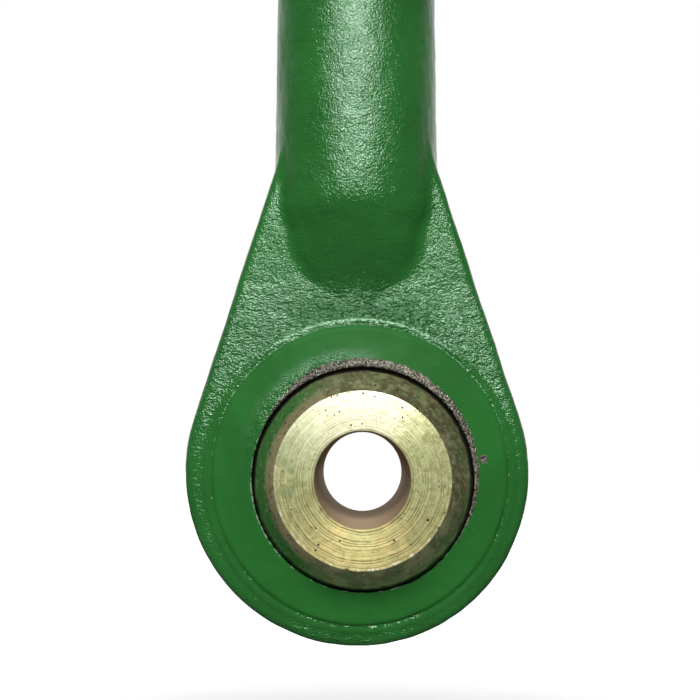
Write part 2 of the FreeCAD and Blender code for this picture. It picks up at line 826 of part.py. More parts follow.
def housing_gasket():
    sheet = rod(flange_r, gasket_height, V(0, 0, housing_top_z), Z_AXIS)
    opening = rod(cavity_r, gasket_height, V(0, 0, housing_top_z), Z_AXIS)
    pocket = block(0, pocket_x, -pocket_r, pocket_r, housing_top_z, cap_bottom_z)
    sheet = sheet.cut(opening).cut(pocket)
    for hole in bolt_holes(housing_top_z, gasket_height):
        sheet = sheet.cut(hole)
    return sheet


def housing_cap():
    plate = turned(
        Z_AXIS, V(0, 0, 0),
        (0, cap_bottom_z), (flange_r, cap_bottom_z), (flange_r, cap_top_z - 1.5), (flange_r - 1.5, cap_top_z),
        (0, cap_top_z),
    )
    lug = block(-lug_half_width, lug_half_width, -lug_r, lug_r, cap_top_z - 1, pivot_z)
    lug = lug.fuse(rod(lug_r, 2 * lug_half_width, V(-lug_half_width, 0, pivot_z), X_AXIS))
    cap = plate.fuse(lug).removeSplitter()
    foot = [
        e for e in cap.Edges
        if abs(e.BoundBox.ZMin - cap_top_z) < 0.01 and abs(e.BoundBox.ZMax - cap_top_z) < 0.01
        and abs(e.BoundBox.Center.x) < lug_half_width + 1 and e.BoundBox.DiagonalLength < 2 * lug_r + 1
    ]
    cap = cap.makeFillet(3.0, foot)
    cap = cap.cut(rod(pivot_r + pivot_bush_wall, 2 * lug_half_width, V(-lug_half_width, 0, pivot_z), X_AXIS))
    for hole in bolt_holes(cap_bottom_z, cap_height):
        cap = cap.cut(hole)
    return cap


def pivot_bushes():
    length = lug_half_width - pivot_bush_split
    starts = (-lug_half_width, pivot_bush_split)
    return Part.makeCompound([
        ring(pivot_r + pivot_bush_wall, pivot_r + running_gap, length, V(x, 0, pivot_z), X_AXIS) for x in starts
    ])


def upper_yoke():
    web_z = pivot_z + lug_r + yoke_web_gap
    fork_z = web_z + yoke_web_height
    fork_half = fork_gap / 2 + fork_ear_width
    web_half = max(yoke_outer_x, fork_ear_r)
    parts = [block(-web_half, web_half, -fork_half, fork_half, web_z, fork_z)]
    for x in (-yoke_outer_x, yoke_inner_x):
        parts.append(block(x, x + yoke_ear_width, -lug_r, lug_r, pivot_z, web_z + 1))
        parts.append(rod(lug_r, yoke_ear_width, V(x, 0, pivot_z), X_AXIS))
    for y in (-fork_half, fork_gap / 2):
        parts.append(block(-fork_ear_r, fork_ear_r, y, y + fork_ear_width, fork_z - 1, lift_pin_z))
        parts.append(rod(fork_ear_r, fork_ear_width, V(0, y, lift_pin_z), Y_AXIS))
    yoke = parts[0].fuse(parts[1:]).removeSplitter()
    yoke = yoke.cut(rod(pivot_r, 2 * yoke_outer_x, V(-yoke_outer_x, 0, pivot_z), X_AXIS))
    yoke = yoke.cut(rod(lift_pin_bore_r, 2 * fork_half, V(0, -fork_half, lift_pin_z), Y_AXIS))
    outer_rims = [
        e for e in yoke.Edges
        if abs(abs(e.BoundBox.Center.y) - fork_half) < 0.01 and e.BoundBox.YLength < 0.01
        and e.BoundBox.ZMax > lift_pin_z + fork_ear_r - 1
    ]
    return yoke.makeFillet(fork_edge_round, outer_rims)


def pivot_bolt():
    seat_x = -yoke_outer_x
    length = 2 * yoke_outer_x + pivot_washer_width + pivot_nut_width + pivot_end
    shank = turned(
        X_AXIS, V(seat_x, 0, pivot_z),
        (0, 0), (pivot_r, 0), (pivot_r, length - 1.5), (pivot_r - 1.5, length), (0, length),
    )
    head = chamfered_hexagon(pivot_flats, pivot_head, V(seat_x - pivot_washer_width, 0, pivot_z), X_AXIS * -1)
    neck = rod(pivot_r, pivot_washer_width, V(seat_x - pivot_washer_width, 0, pivot_z), X_AXIS)
    return shank.fuse([neck, head]).removeSplitter().cut(pivot_cotter())


def pivot_washers():
    starts = (-yoke_outer_x - pivot_washer_width, yoke_outer_x)
    return Part.makeCompound([
        ring(pivot_washer_r, pivot_r + running_gap, pivot_washer_width, V(x, 0, pivot_z), X_AXIS) for x in starts
    ])


def pivot_nut_x():
    return yoke_outer_x + pivot_washer_width


def pivot_nut():
    seat = V(pivot_nut_x(), 0, pivot_z)
    nut = chamfered_hexagon(pivot_flats, pivot_nut_width, seat, X_AXIS).cut(
        rod(pivot_r, pivot_nut_width, seat, X_AXIS)
    )
    depth = pivot_nut_width / 3
    slot_x = pivot_nut_x() + pivot_nut_width - depth
    for turn_deg in (0, 60, 120):
        slot = block(slot_x, slot_x + depth, -pivot_flats, pivot_flats, -cotter_r, cotter_r)
        slot.rotate(V(0, 0, 0), X_AXIS, turn_deg)
        slot.translate(V(0, 0, pivot_z))
        nut = nut.cut(slot)
    return nut


def pivot_cotter():
    """The cotter through the slotted nut's slots, with a round eye at one end."""
    length = pivot_flats + 2 * cotter_overhang
    pin_x = pivot_nut_x() + pivot_nut_width - cotter_r
    pin = rod(cotter_r - 0.1, length, V(pin_x, -length / 2, pivot_z), Y_AXIS)
    eye = Part.makeTorus(2 * cotter_r, cotter_r * 0.8, V(pin_x, -length / 2 - cotter_r, pivot_z), X_AXIS)
    return pin.fuse(eye)


def mouth_seal():
    bore_r = thread_major_r + side_gap
    lip_r = bore_r + 2
    base_z = mouth_z - seal_height
    return turned(
        Z_AXIS, V(0, 0, 0),
        (lip_r, base_z), (seal_r, base_z), (seal_r, mouth_z), (lip_r, mouth_z + 1.5), (bore_r, mouth_z + 1.5),
        (bore_r, mouth_z - 2),
    )


pieces = {
    "ball_bushing": ball_bushing(),
    "lower_barrel": lower_barrel(),
    "mouth_seal": mouth_seal(),
    "barrel_grease_fitting": grease_fitting(V(-barrel_r, 0, barrel_fitting_z()), X_AXIS * -1),
    "leveling_screw": leveling_screw(),
    "lower_thrust_washer": ring(
        thrust_washer_r, journal_r + race_bore_gap, thrust_washer_height, V(0, 0, thread_top_z), Z_AXIS
    ),
    "screw_bush": ring(
        journal_r + neck_bush_wall, journal_r + running_gap, neck_height, V(0, 0, neck_bottom_z), Z_AXIS
    ),
    "lower_race": lower_race(),
    "bearing_balls": bearing_balls(),
    "bearing_cage": bearing_cage(),
    "upper_race": upper_race(),
    "driven_gear": driven_gear(),
    "gear_key": gear_key(),
    "gear_nut": gear_nut(),
    "gear_nut_pin": gear_nut_pin(),
    "bevel_pinion": bevel_pinion(),
    "pinion_pin": pinion_pin(),
    "pinion_thrust_washer": ring(
        shaft_washer_r, shaft_r + running_gap, shaft_washer_width - running_gap,
        V(pinion_back_x + running_gap, 0, crank_z), X_AXIS,
    ),
    "crank_shaft": crank_shaft(),
    "shaft_bush": ring(
        shaft_r + shaft_bush_wall, shaft_r + running_gap, shaft_bush_length, V(pocket_x, 0, crank_z), X_AXIS
    ),
    "shaft_seal": ring(
        shaft_r + shaft_seal_wall, shaft_r + running_gap, shaft_seal_width, V(bush_end_x, 0, crank_z), X_AXIS
    ),
    "crank_washer": ring(
        crank_hub_r, shaft_r, crank_washer_width, V(snout_x + side_gap, 0, crank_z), X_AXIS
    ),
    "crank_arm": crank_arm(),
    "crank_pin": crank_pin(),
    "handle_spindle": handle_spindle(),
    "hand_grip": hand_grip(),
    "grip_washer": ring(
        grip_washer_r, spindle_r, grip_washer_width, V(grip_x + grip_length + side_gap, 0, spindle_z), X_AXIS
    ),
    "grip_split_pin": grip_split_pin(),
    "gear_housing": gear_housing(),
    "filler_plug": filler_plug(),
    "housing_grease_fitting": grease_fitting(snout_fitting_seat(), Z_AXIS),
    "housing_gasket": housing_gasket(),
    "housing_cap": housing_cap(),
    "cap_bolts": cap_bolts(),
    "cap_washers": cap_washers(),
    "pivot_bushes": pivot_bushes(),
    "upper_yoke": upper_yoke(),
    "pivot_bolt": pivot_bolt(),
    "pivot_washers": pivot_washers(),
    "pivot_nut": pivot_nut(),
    "pivot_cotter": pivot_cotter(),
}

os.makedirs("parts", exist_ok=True)
for name, shape in pieces.items():
    shape.exportStep(f"parts/{name}.step")
    print(name, len(shape.Solids), shape.isValid(), round(shape.Volume, 1))
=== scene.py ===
import json
import math
from collections import namedtuple

import bpy
import numpy as np
import openvdb
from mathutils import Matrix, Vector


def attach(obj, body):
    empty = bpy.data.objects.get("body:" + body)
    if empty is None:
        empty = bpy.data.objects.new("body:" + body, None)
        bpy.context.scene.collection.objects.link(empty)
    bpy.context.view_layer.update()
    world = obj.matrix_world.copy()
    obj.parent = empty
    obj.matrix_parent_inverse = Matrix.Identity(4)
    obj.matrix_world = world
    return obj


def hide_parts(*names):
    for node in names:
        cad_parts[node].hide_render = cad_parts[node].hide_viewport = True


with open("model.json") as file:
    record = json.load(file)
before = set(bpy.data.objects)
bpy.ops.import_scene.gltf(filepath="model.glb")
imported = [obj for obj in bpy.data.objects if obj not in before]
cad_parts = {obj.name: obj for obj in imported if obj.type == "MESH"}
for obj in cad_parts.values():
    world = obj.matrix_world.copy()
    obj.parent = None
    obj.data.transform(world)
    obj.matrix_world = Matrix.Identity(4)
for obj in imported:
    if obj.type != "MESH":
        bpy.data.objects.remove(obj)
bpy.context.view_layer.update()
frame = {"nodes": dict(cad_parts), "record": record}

# The frame is in metres, +Z up the screw, +Y along the bore of the lower ball, origin at the ball's centre.
# Sizes are in millimetres unless a comment says otherwise.
MM = 0.001

# The flat eye of the lower forging, whose skin lies a little to the left of the machined socket
EYE_R = 50.0
EYE_RISE = 2.5
PLATE_HALF = 13.0
PLATE_TIP_R = 17.5
PLATE_SIDE_DEG = 17.0
DRAFT_DEG = 5.0
PLATE_EDGE_ROUND = 2.6
SKIN_OFFSET_X = -1.75
CENTRED_FROM_Z = 160.0
CENTRED_AT_Z = 270.0

# The raised boss round the socket, and the bead of thick paint round the boss
BOSS_OFFSET_X = -0.95
BOSS_RISE = 1.5
BOSS_FOOT_R = 42.0
BOSS_EDGE_R = 41.5
BOSS_EDGE_HALF = 14.2
BOSS_WALL_SLOPE = 0.3
BOSS_ROUND = 0.4
BOSS_FOOT_ROUND = 0.3
DISH_CURVE = 0.65
DISH_REACH = 1.3
BEAD_R = 43.2
BEAD_WIDTH = 1.0
BEAD_HEIGHT = 0.6

# The socket and its lip
BALL_R = 34.52
SOCKET_R = 34.6
LIP_HALF = 16.4
LIP_SOFTNESS = 0.35
LIP_RELIEF = 0.55
LIP_RELIEF_FLOOR = 15.6
SOCKET_MOUTH_R = math.sqrt(SOCKET_R**2 - LIP_HALF**2)
LIP_R = SOCKET_MOUTH_R + LIP_RELIEF

# The barrel, and its foot that slopes down into the plate
BARREL_R = 25.2
FOOT_EDGE_Z = 77.5
FOOT_EDGE_ROUND = 1.3
PLAIN_SHANK_FROM_Z = FOOT_EDGE_Z + 12.0
FOOT_SLOPE = 0.52
FOOT_LEVEL = 12.3
FOOT_BLEND = 3.0
FOOT_TOE_ROUNDNESS = 1.9
FOOT_TOE_Z = 49.0
FOOT_TOE_FROM_Z = 70.0
FOOT_TOE_END = 0.995
FOOT_TOE_CUT = 2.0
FOOT_NARROWING = 2.4
FOOT_NARROWS_WITHIN = 8.0
FOOT_SQUARENESS = 1.0
FOOT_SQUARE_WITHIN = 24.0
FOOT_FILLET = 0.5
SIDE_FILLET = 1.5
SIDE_FILLET_FROM_TOE = (3.0, 11.0)

# The barrel's mouth, and what is hollow in the barrel
MOUTH_Z = 300.0
MOUTH_ROUND = 1.5
COLLAR_R = 29.0
COLLAR_HEIGHT = 22.0
COLLAR_SLOPE = 4.0
COLLAR_EDGE_ROUND = 1.0
COLLAR_FILLET = 2.0
SEAL_R = 21.0
SEAL_DEPTH = 8.0
BORE_R = 16.3
CHAMBER_TOP_Z = 222.0
CHAMBER_R = 16.7
CHAMBER_FLOOR_Z = 98.0
BORE_OVERLAP = 2.0
FITTING_Z = 257.0
FITTING_R = 3.0

# The uneven forged skin: height, wave length and seed of each layer
FORGED_WAVES = ((0.10, 17.0, 3), (0.045, 5.0, 4))
WAVES_IN_LAYER = 7
WAVE_VARIES = (0.6, 1.5)

# The box round the forging, and the grid in it that the mesh is made from
FORGING_LOW = (-52.0, -30.0, -50.0)
FORGING_HIGH = (52.0, 30.0, MOUTH_Z + 1.5)
GRID = 0.6
GRID_SLAB = 64
GRID_BAND_CELLS = 3

# The ball bushing
BALL_WIDTH = 50.0
BALL_FACE_R = 23.8
BALL_EDGE_ROUND = 0.25
BALL_BAND_POINTS = 24
BALL_TURN_STEPS = 256
PIN_BORE_R = 12.9
BORE_CHAMFER = 0.35

# The photograph's camera
CAMERA_AT = (0.0, -228.1, 11.75)
CAMERA_PITCH_DEG = 6.5
CAMERA_YAW_DEG = 0.94
CAMERA_FOCAL_PX = 751.0
CAMERA_SENSOR = 36.0
CAMERA_CLIP = (0.01, 20.0)
PICTURE_PX = 700.0

# The studio, in metres. Each softbox has its azimuth and elevation in degrees, its distance, width, height
# and radiance, and whether gloss shows it.
FLOOR_Z = -0.30
FLOOR_HALF = 6.0
FLOOR_TONE = 0.06
FLOOR_TONE_FOR_DIFFUSE = 0.35
FLOOR_TONE_SEEN = 0.5
FLOOR_FADE_FROM = 0.55
FLOOR_FADE_AT = 1.05
FLOOR_GLOW = (0.2, 1.0)
FLOOR_ROUGHNESS = 0.9
WHITE = (1, 1, 1, 1)
FRONT_ROOM = 0.05
BACK_ROOM = 1.0
ROOM_TURN = (0.35, 0.95)
LIGHT_TARGET = (0.0, 0.0, 0.03)
SOFTBOXES = {
    "key_softbox": (-1.0, 40.0, 1.3, 0.72, 0.48, 15.0, True),
    "front_fill": (-18.0, -9.0, 2.2, 4.0, 3.0, 0.58, False),
    "left_fill": (-125.0, 25.0, 2.2, 2.6, 2.6, 0.9, False),
    "right_fill": (125.0, 25.0, 2.2, 2.6, 2.6, 0.9, False),
}

# Where the forging's skin turns from smooth to rough: past the boss, and on the plate's rim below its faces
SMOOTH_BEYOND_EDGE = 0.2
ROUGH_BEYOND_FOOT = 0.3
BELOW_PLATE_FACE = 0.3

# The green paint. A grain scales the depth of its skin's bumps, and the strokes are the slanted, drawn out
# bumps on the plate.
PAINT_GLOSS = 1.0
PAINT_GLINT = (0.76, 1.0, 0.80)
PAINT_ROUGHNESS = (0.10, 0.18)
PAINT_IOR = 1.5
THICK_PAINT_IOR = 1.68
THICK_PAINT_Z = (0.0, 40.0)
FINE_DEPTH = 0.32
BROAD_DEPTH = 0.30
GRAIN_VARIES = (0.6, 1.4)
CAST_GRAIN = 0.9
FINE_CAST_GRAIN = 0.5
BARREL_GRAIN = 0.8
PLATE_GRAIN = 1.55
RIM_GRAIN = 0.7
SMOOTH_GRAIN = 0.08
SMOOTH_GLOSS = 0.08
SMOOTH_ROUGHNESS = 0.5
BEAD_GRAIN = 0.35
BEAD_ZONE = (0.5, 1.1)
MIDDLE_GRAIN = 1.7
MIDDLE_ZONE = (12.0, 28.0)
PLATE_TO_BARREL_Z = (48.0, 62.0)
RIM_TO_PLATE_Z = (0.0, 36.0)
STROKE_LEAN_DEG = -25.0
STROKE_SCALE = (0.62, 1.0, 1.1)
GRITTY_LIP = 0.85
GRITTY_LIP_ZONE = (1.5, 7.0)
GRITTY_LIP_TURN = (0.75, 1.3)

# Wear on the socket's lip, widest in the direction WORN_MIDDLE_DEG from +X to +Z, and the chip beside it
WORN_MIDDLE_DEG = 58.0
WORN_HALF_DEG = 103.0
WORN_WIDTH = 1.5
WORN_WIDER_ABOVE = 1.1
WORN_LEAST = 0.04
WORN_RAGGED = 1.6
# LIP_BAND is the band along the lip's edge where patches of lighter paint are a painted highlight
LIP_BAND = (-0.9, 0.3)
CHIP_AT = (34.0, -15.1, 5.2)
CHIP_R = 0.65
CHIP_RAGGED = 1.2
BARE_METALLIC = 0.85
BARE_ROUGHNESS = 0.46
BARE_DEPTH = 0.35

# How far the mask of a machined surface reaches past it
MASK_EDGE = 0.12

# The plated ball: its gloss, its turned rings, its stains, its painted highlight and painted shade, and how
# far the normal of its faces leans to the left and up. Each range named TURN is of the sine or cosine of the
# turn round the ball's axis, or of a sum.
BALL_METALLIC = 0.4
FACE_ROUGHNESS = 0.45
BAND_ROUGHNESS = 0.30
BORE_ROUGHER = 0.12
FACE_ANISOTROPY = 0.86
PALE_ANISOTROPY = 0.45
ANISOTROPY_TURN = 0.25
RING_WANDER = 0.7
RING_DEPTH = 0.15
RING_BREAKS = (0.4, 1.3)
RING_SHADE_LEAST = -0.2
RING_SHADE_MOST = (0.9, 1.9)
RING_SHADE_RANGE = (0.46, 0.62)
# LOW_TURN places painted shade low on the face, PALE_TURN a painted highlight, SIDE_TURN painted shade at
# its sides
LOW_TURN = (-0.2, 0.7)
PALE_TURN = (0.2, 0.9)
PALE_TO_LEFT = 0.3
SIDE_TURN = (0.5, 0.95)
PIT_CELL = 3.0
PIT_SIZE = (-0.03, 0.22)
PIT_DEPTH = 0.12
RIM_BAND = (-0.9, -0.3)
RIM_DARK_BELOW = 0.38
BORE_EDGE_ROOM = 0.5
MOTTLE_STRENGTH = (0.7, 0.35)
GREEN_WHERE_PALE = 0.1
GREEN_WHERE_LOW = 0.3
NORMAL_LEANS_LEFT = 0.04
NORMAL_LEANS_UP = 0.16
LEFT_TURN = (0.25, 0.7)
# The band is greener on its left, toward the lip
LEFT_GREEN_DEPTH = (21.4, 23.0)
BEIGE_DEPTH = (22.0, 23.6)
# Patchy painted shadow on the top right of the band, then near-black greasy dirt and painted shade by the
# lip
TOP_SHADOW_TURN = (0.2, 0.9)
GREASE_AND_SHADE_WANDER = 1.4
GREASE_AND_SHADE_FADE = 0.9

# The other finishes: a metal's range of roughness and its grain's width and depth, then a soft finish's
# roughness and its grain's width and depth
METALS = {
    "oiled_steel": ((0.22, 0.42), 0.8, 0.03),
    "gear_steel": ((0.25, 0.45), 0.6, 0.02),
    "zinc_plate": ((0.22, 0.42), 0.7, 0.02),
    "bronze": ((0.3, 0.5), 0.4, 0.02),
}
METAL_METALLIC = 0.75
METAL_GRAIN_DETAIL = 3.0
SOFT_FINISHES = {
    "seal_rubber": (0.55, 0.5, 0.03),
    "gasket_fibre": (0.7, 0.3, 0.04),
    "grip_plastic": (0.28, 1.4, 0.03),
}
SOFT_GRAIN_DETAIL = 2.0
DUST_LIGHTENS = (1.8, 0.01)
DUST_ROUGHENS = 0.2

# The cast and forged nodes whose edges are softened: voxel size and smoothing passes
CAST_EDGES = {
    "gear_housing": (0.9, 10),
    "housing_cap": (0.9, 10),
    "upper_yoke": (0.9, 10),
    "crank_arm": (0.7, 6),
}
CAST_SMOOTHING = 0.5

# Noises: width of their features, detail, roughness, distortion
NOISES = {
    "fine_skin": (0.6, 2.0, 0.6, 0.2),
    "broad_skin": (1.9, 2.0, 0.6, 0.3),
    "paint_roughness": (4.0, 2.0, 0.5, 0.0),
    "paint_grain": (5.0, 2.0, 0.5, 0.0),
    "paint_tone": (22.0, 3.0, 0.5, 0.0),
    "paint_specks": (1.1, 2.0, 0.5, 0.0),
    "worn_edge": (1.3, 3.0, 0.5, 0.0),
    "chip_edge": (0.9, 2.0, 0.5, 0.0),
    "lip_highlight_nicks": (1.4, 3.0, 0.5, 0.0),
    "steel_grit": (0.5, 2.0, 0.7, 0.0),
    "ring_wander": (6.0, 2.0, 0.5, 0.0),
    "rings": (0.62, 2.0, 0.7, 0.0),
    "ring_breaks": (2.2, 3.0, 0.5, 0.0),
    "face_tone": (9.0, 3.0, 0.5, 0.0),
    "face_mottle": (2.6, 5.0, 0.7, 1.2),
    "face_green": (7.0, 2.0, 0.5, 0.0),
    "face_grime": (0.8, 2.0, 0.5, 0.0),
    "rim_nicks": (2.0, 4.0, 0.7, 0.0),
    "band_tone": (6.0, 3.0, 0.5, 0.0),
    "band_rust": (3.0, 3.0, 0.5, 0.0),
    "band_top_shadow": (2.0, 3.0, 0.5, 0.0),
    "band_scuffs": (1.3, 4.0, 0.7, 0.0),
    "band_smears": (1.7, 3.0, 0.7, 0.0),
    "grease_and_shade_edge": (3.0, 2.0, 0.5, 0.0),
    "metal_tone": (5.0, 4.0, 0.6, 0.0),
    "metal_roughness": (2.0, 3.0, 0.5, 0.0),
    "dust": (6.0, 4.0, 0.6, 0.0),
}

# Where the patches of a noise start and where they are full
PATCH_RANGES = {
    "paint_tone": (0.35, 0.65),
    "paint_specks": (0.62, 0.80),
    "lip_highlight_nicks": (0.48, 0.60),
    "steel_grit": (0.38, 0.68),
    "face_tone": (0.36, 0.66),
    "face_mottle": (0.42, 0.62),
    "face_green": (0.50, 0.70),
    "face_grime": (0.60, 0.80),
    "rim_nicks": (0.55, 0.65),
    "band_tone": (0.40, 0.62),
    "band_rust": (0.56, 0.70),
    "band_top_shadow": (0.35, 0.60),
    "band_scuffs": (0.54, 0.66),
    "band_smears": (0.56, 0.68),
    "metal_tone": (0.35, 0.65),
    "dust": (0.50, 0.80),
}

# How strong a tint of that name is, where it isn't full
TINT_STRENGTHS = {
    "face_shaded_side": 0.6,
    "face_grime": 0.75,
    "band_beige": 0.7,
    "band_top_shadow": 0.7,
    "band_scuffs": 0.65,
    "band_smears": 0.75,
}

# Colours as a screen shows them, from 0 to 255
COLOURS = {
    "paint": (44, 113, 48),
    "paint_dark": (40, 104, 43),
    "paint_light": (50, 120, 54),
    # Lighter paint along the lip's edge, a painted highlight
    "painted_lip_highlight": (150, 178, 146),
    "bare_steel_dark": (70, 60, 50),
    "bare_steel_light": (190, 188, 172),
    "socket_steel": (70, 60, 48),
    "face_yellow": (242, 245, 170),
    "face_straw": (240, 230, 176),
    # The next colour is painted shade low on the face, and the one after it a painted highlight at its upper
    # left
    "face_painted_shade": (214, 198, 132),
    "face_painted_highlight": (253, 253, 214),
    # Greener, darker left and right sides of the face, painted shade
    "face_shaded_side": (204, 214, 158),
    "face_mottle": (168, 168, 104),
    "face_green": (150, 168, 118),
    "ring_shade": (120, 102, 54),
    "face_grime": (104, 94, 56),
    # Near-white nicks on the rim of the face, painted glints
    "rim_nick_glint": (252, 250, 226),
    "rim_dark": (70, 60, 40),
    "pit": (50, 42, 26),
    "band_olive": (150, 156, 112),
    "band_green": (108, 126, 86),
    "band_rust": (150, 116, 84),
    # Greener on the left of the band, toward the lip
    "band_left_green": (70, 124, 62),
    "band_beige": (162, 146, 108),
    # Dark patches on the top right of the band, painted shadow
    "band_top_shadow": (94, 74, 52),
    "band_scuffs": (182, 176, 142),
    "band_smears": (58, 62, 40),
    # Near-black greasy dirt and painted shade in the gap by the lip
    "grease_and_gap_shade": (24, 22, 16),
    "bore_wall": (166, 142, 110),
    "oiled_steel_dark": (86, 84, 78),
    "oiled_steel_light": (140, 138, 130),
    "gear_steel_dark": (90, 88, 84),
    "gear_steel_light": (128, 126, 120),
    "zinc_plate_dark": (176, 178, 170),
    "zinc_plate_light": (214, 214, 202),
    "bronze_dark": (150, 112, 58),
    "bronze_light": (190, 150, 88),
    "gasket_fibre": (92, 78, 58),
}

# Two tones near black, as the shader needs them
RUBBER_TONE = (0.02, 0.02, 0.02)
PLASTIC_TONE = (0.012, 0.012, 0.013)

# A place on a surface, as outputs of its node tree: its coordinates, the part of them across the ball's
# axis, the reach from that axis, the sine and cosine of the turn round it, and the depth from the middle
Place = namedtuple("Place", "where x y z flat reach upward rightward depth")


def rounded_union(a, b, radius):
    """The union of two distance fields with a round fillet between them. radius may be a field."""
    deep = np.hypot(np.maximum(radius - a, 0), np.maximum(radius - b, 0))
    return np.maximum(radius, np.minimum(a, b)) - deep


def rounded_overlap(a, b, radius):
    """The overlap of two distance fields with a rounded edge."""
    out = np.hypot(np.maximum(a + radius, 0), np.maximum(b + radius, 0))
    return np.minimum(np.maximum(a, b), -radius) + out


def ramp(value, start, end):
    """0 before start, 1 after end, smooth between."""
    t = np.clip((value - start) / (end - start), 0, 1)
    return t * t * (3 - 2 * t)


def lumps(x, y, z, wave, seed):
    """A smooth uneven field between about -1 and 1, with bumps about as wide as wave."""
    draws = np.random.default_rng(seed)
    total = np.zeros(np.broadcast(x, y, z).shape, np.float32)
    for _ in range(WAVES_IN_LAYER):
        direction = draws.normal(size=3)
        direction *= 2 * math.pi / wave * draws.uniform(*WAVE_VARIES) / np.linalg.norm(direction)
        phase = draws.uniform(0, 2 * math.pi)
        total += np.sin(direction[0] * x + direction[1] * y + direction[2] * z + phase)
    return total / math.sqrt(WAVES_IN_LAYER)


def plate_field(x, y, z):
    """The flat eye: a round end and straight sides that run up into the barrel, drafted from the parting
    plane. The bead of paint lies on its faces."""
    lean = math.radians(PLATE_SIDE_DEG)
    lean_sin, lean_cos = math.sin(lean), math.cos(lean)
    height = (EYE_R - PLATE_TIP_R) / lean_sin
    across, up = np.abs(x), z - EYE_RISE
    to_side = across * lean_cos + up * lean_sin - EYE_R
    low_end = np.hypot(across, up) - EYE_R
    high_end = np.hypot(across, up - height) - PLATE_TIP_R
    along = up * lean_cos - across * lean_sin
    outline = np.where(along < 0, low_end, np.where(along > height * lean_cos, high_end, to_side))
    depth = np.abs(y)
    outline = outline + depth * math.tan(math.radians(DRAFT_DEG))
    from_bead = np.hypot(x + SKIN_OFFSET_X - BOSS_OFFSET_X, z - BOSS_RISE) - BEAD_R
    bead = BEAD_HEIGHT * np.exp(-(from_bead / BEAD_WIDTH)**2)
    return rounded_overlap(outline, depth - PLATE_HALF - bead, PLATE_EDGE_ROUND)


def boss_field(x, y, z):
    """The raised ring round the socket: a low sloped wall, and a face that rises faster near the lip."""
    reach = np.hypot(x, z - BOSS_RISE)
    depth = np.abs(y)
    wall = reach - BOSS_EDGE_R - (BOSS_EDGE_HALF - depth) * BOSS_WALL_SLOPE
    inward = np.clip((BOSS_EDGE_R - reach) / (BOSS_EDGE_R - SOCKET_MOUTH_R), 0, DISH_REACH)
    dish = (1 - DISH_CURVE) * inward + DISH_CURVE * inward**2
    top = BOSS_EDGE_HALF + (LIP_HALF - BOSS_EDGE_HALF) * dish
    ring = rounded_overlap(wall, depth - top, BOSS_ROUND)
    return np.maximum(ring, reach - BOSS_FOOT_R)


def foot_field(x, y, z):
    """The barrel's foot. Below its edge the faces slope down to the plate, the section grows squarer and
    narrower, and the sides close in a round toe."""
    # How far a place lies below the edge, with the corner at the edge rounded
    below = FOOT_EDGE_Z - z
    below = 0.5 * (below + np.sqrt(below**2 + 4 * FOOT_EDGE_ROUND**2)) * (z < PLAIN_SHANK_FROM_Z)
    # A section of power 2 is an ellipse, and a higher power is squarer
    power = 2 + FOOT_SQUARENESS * ramp(below, 0.0, FOOT_SQUARE_WITHIN)
    toward_toe = np.clip((FOOT_TOE_FROM_Z - z) / (FOOT_TOE_FROM_Z - FOOT_TOE_Z), 0, FOOT_TOE_END)
    half_width = BARREL_R - FOOT_NARROWING * ramp(below, 0.0, FOOT_NARROWS_WITHIN)
    half_width = half_width * (1 - toward_toe**FOOT_TOE_ROUNDNESS)**(1 / FOOT_TOE_ROUNDNESS)
    drop = BARREL_R - FOOT_SLOPE * below - FOOT_LEVEL
    half_depth = FOOT_LEVEL + 0.5 * (drop + np.sqrt(drop**2 + FOOT_BLEND**2))
    section = (np.abs(x) / half_width)**power + (np.abs(y) / half_depth)**power
    return (section**(1 / power) - 1) * np.minimum(half_width, half_depth)


def barrel_field(x, y, z):
    """The round shank with its foot, and the collar at its mouth."""
    reach = np.hypot(x, y)
    shank = np.where(z < PLAIN_SHANK_FROM_Z, foot_field(x, y, z), reach - BARREL_R)
    shank = np.maximum(shank, FOOT_TOE_Z - FOOT_TOE_CUT - z)
    collar_low = MOUTH_Z - COLLAR_HEIGHT
    lean = math.atan2(COLLAR_R - BARREL_R, COLLAR_SLOPE)
    under = (reach - COLLAR_R) * math.cos(lean) - (z - collar_low) * math.sin(lean)
    collar = rounded_overlap(reach - COLLAR_R, under, COLLAR_EDGE_ROUND)
    outer = rounded_union(shank, collar, COLLAR_FILLET)
    return rounded_overlap(outer, z - MOUTH_Z, MOUTH_ROUND)


def bored_field(x, y, z):
    """The hollows of the forging: socket, seat of the seal, bore, chamber and grease hole."""
    reach = np.hypot(x, y)
    socket = np.sqrt(x * x + y * y + z * z) - SOCKET_R
    relief = np.maximum(np.hypot(x, z) - SOCKET_MOUTH_R - LIP_RELIEF, LIP_RELIEF_FLOOR - np.abs(y))
    socket = np.minimum(socket, relief)
    seat = np.maximum(reach - SEAL_R, MOUTH_Z - SEAL_DEPTH - z)
    bore = np.maximum(reach - BORE_R, CHAMBER_TOP_Z - BORE_OVERLAP - z)
    chamber = np.maximum(reach - CHAMBER_R, np.maximum(CHAMBER_FLOOR_Z - z, z - CHAMBER_TOP_Z))
    grease_hole = np.maximum(np.hypot(y, z - FITTING_Z) - FITTING_R, x + BORE_R)
    return np.minimum(np.minimum(socket, seat), np.minimum(np.minimum(bore, chamber), grease_hole))


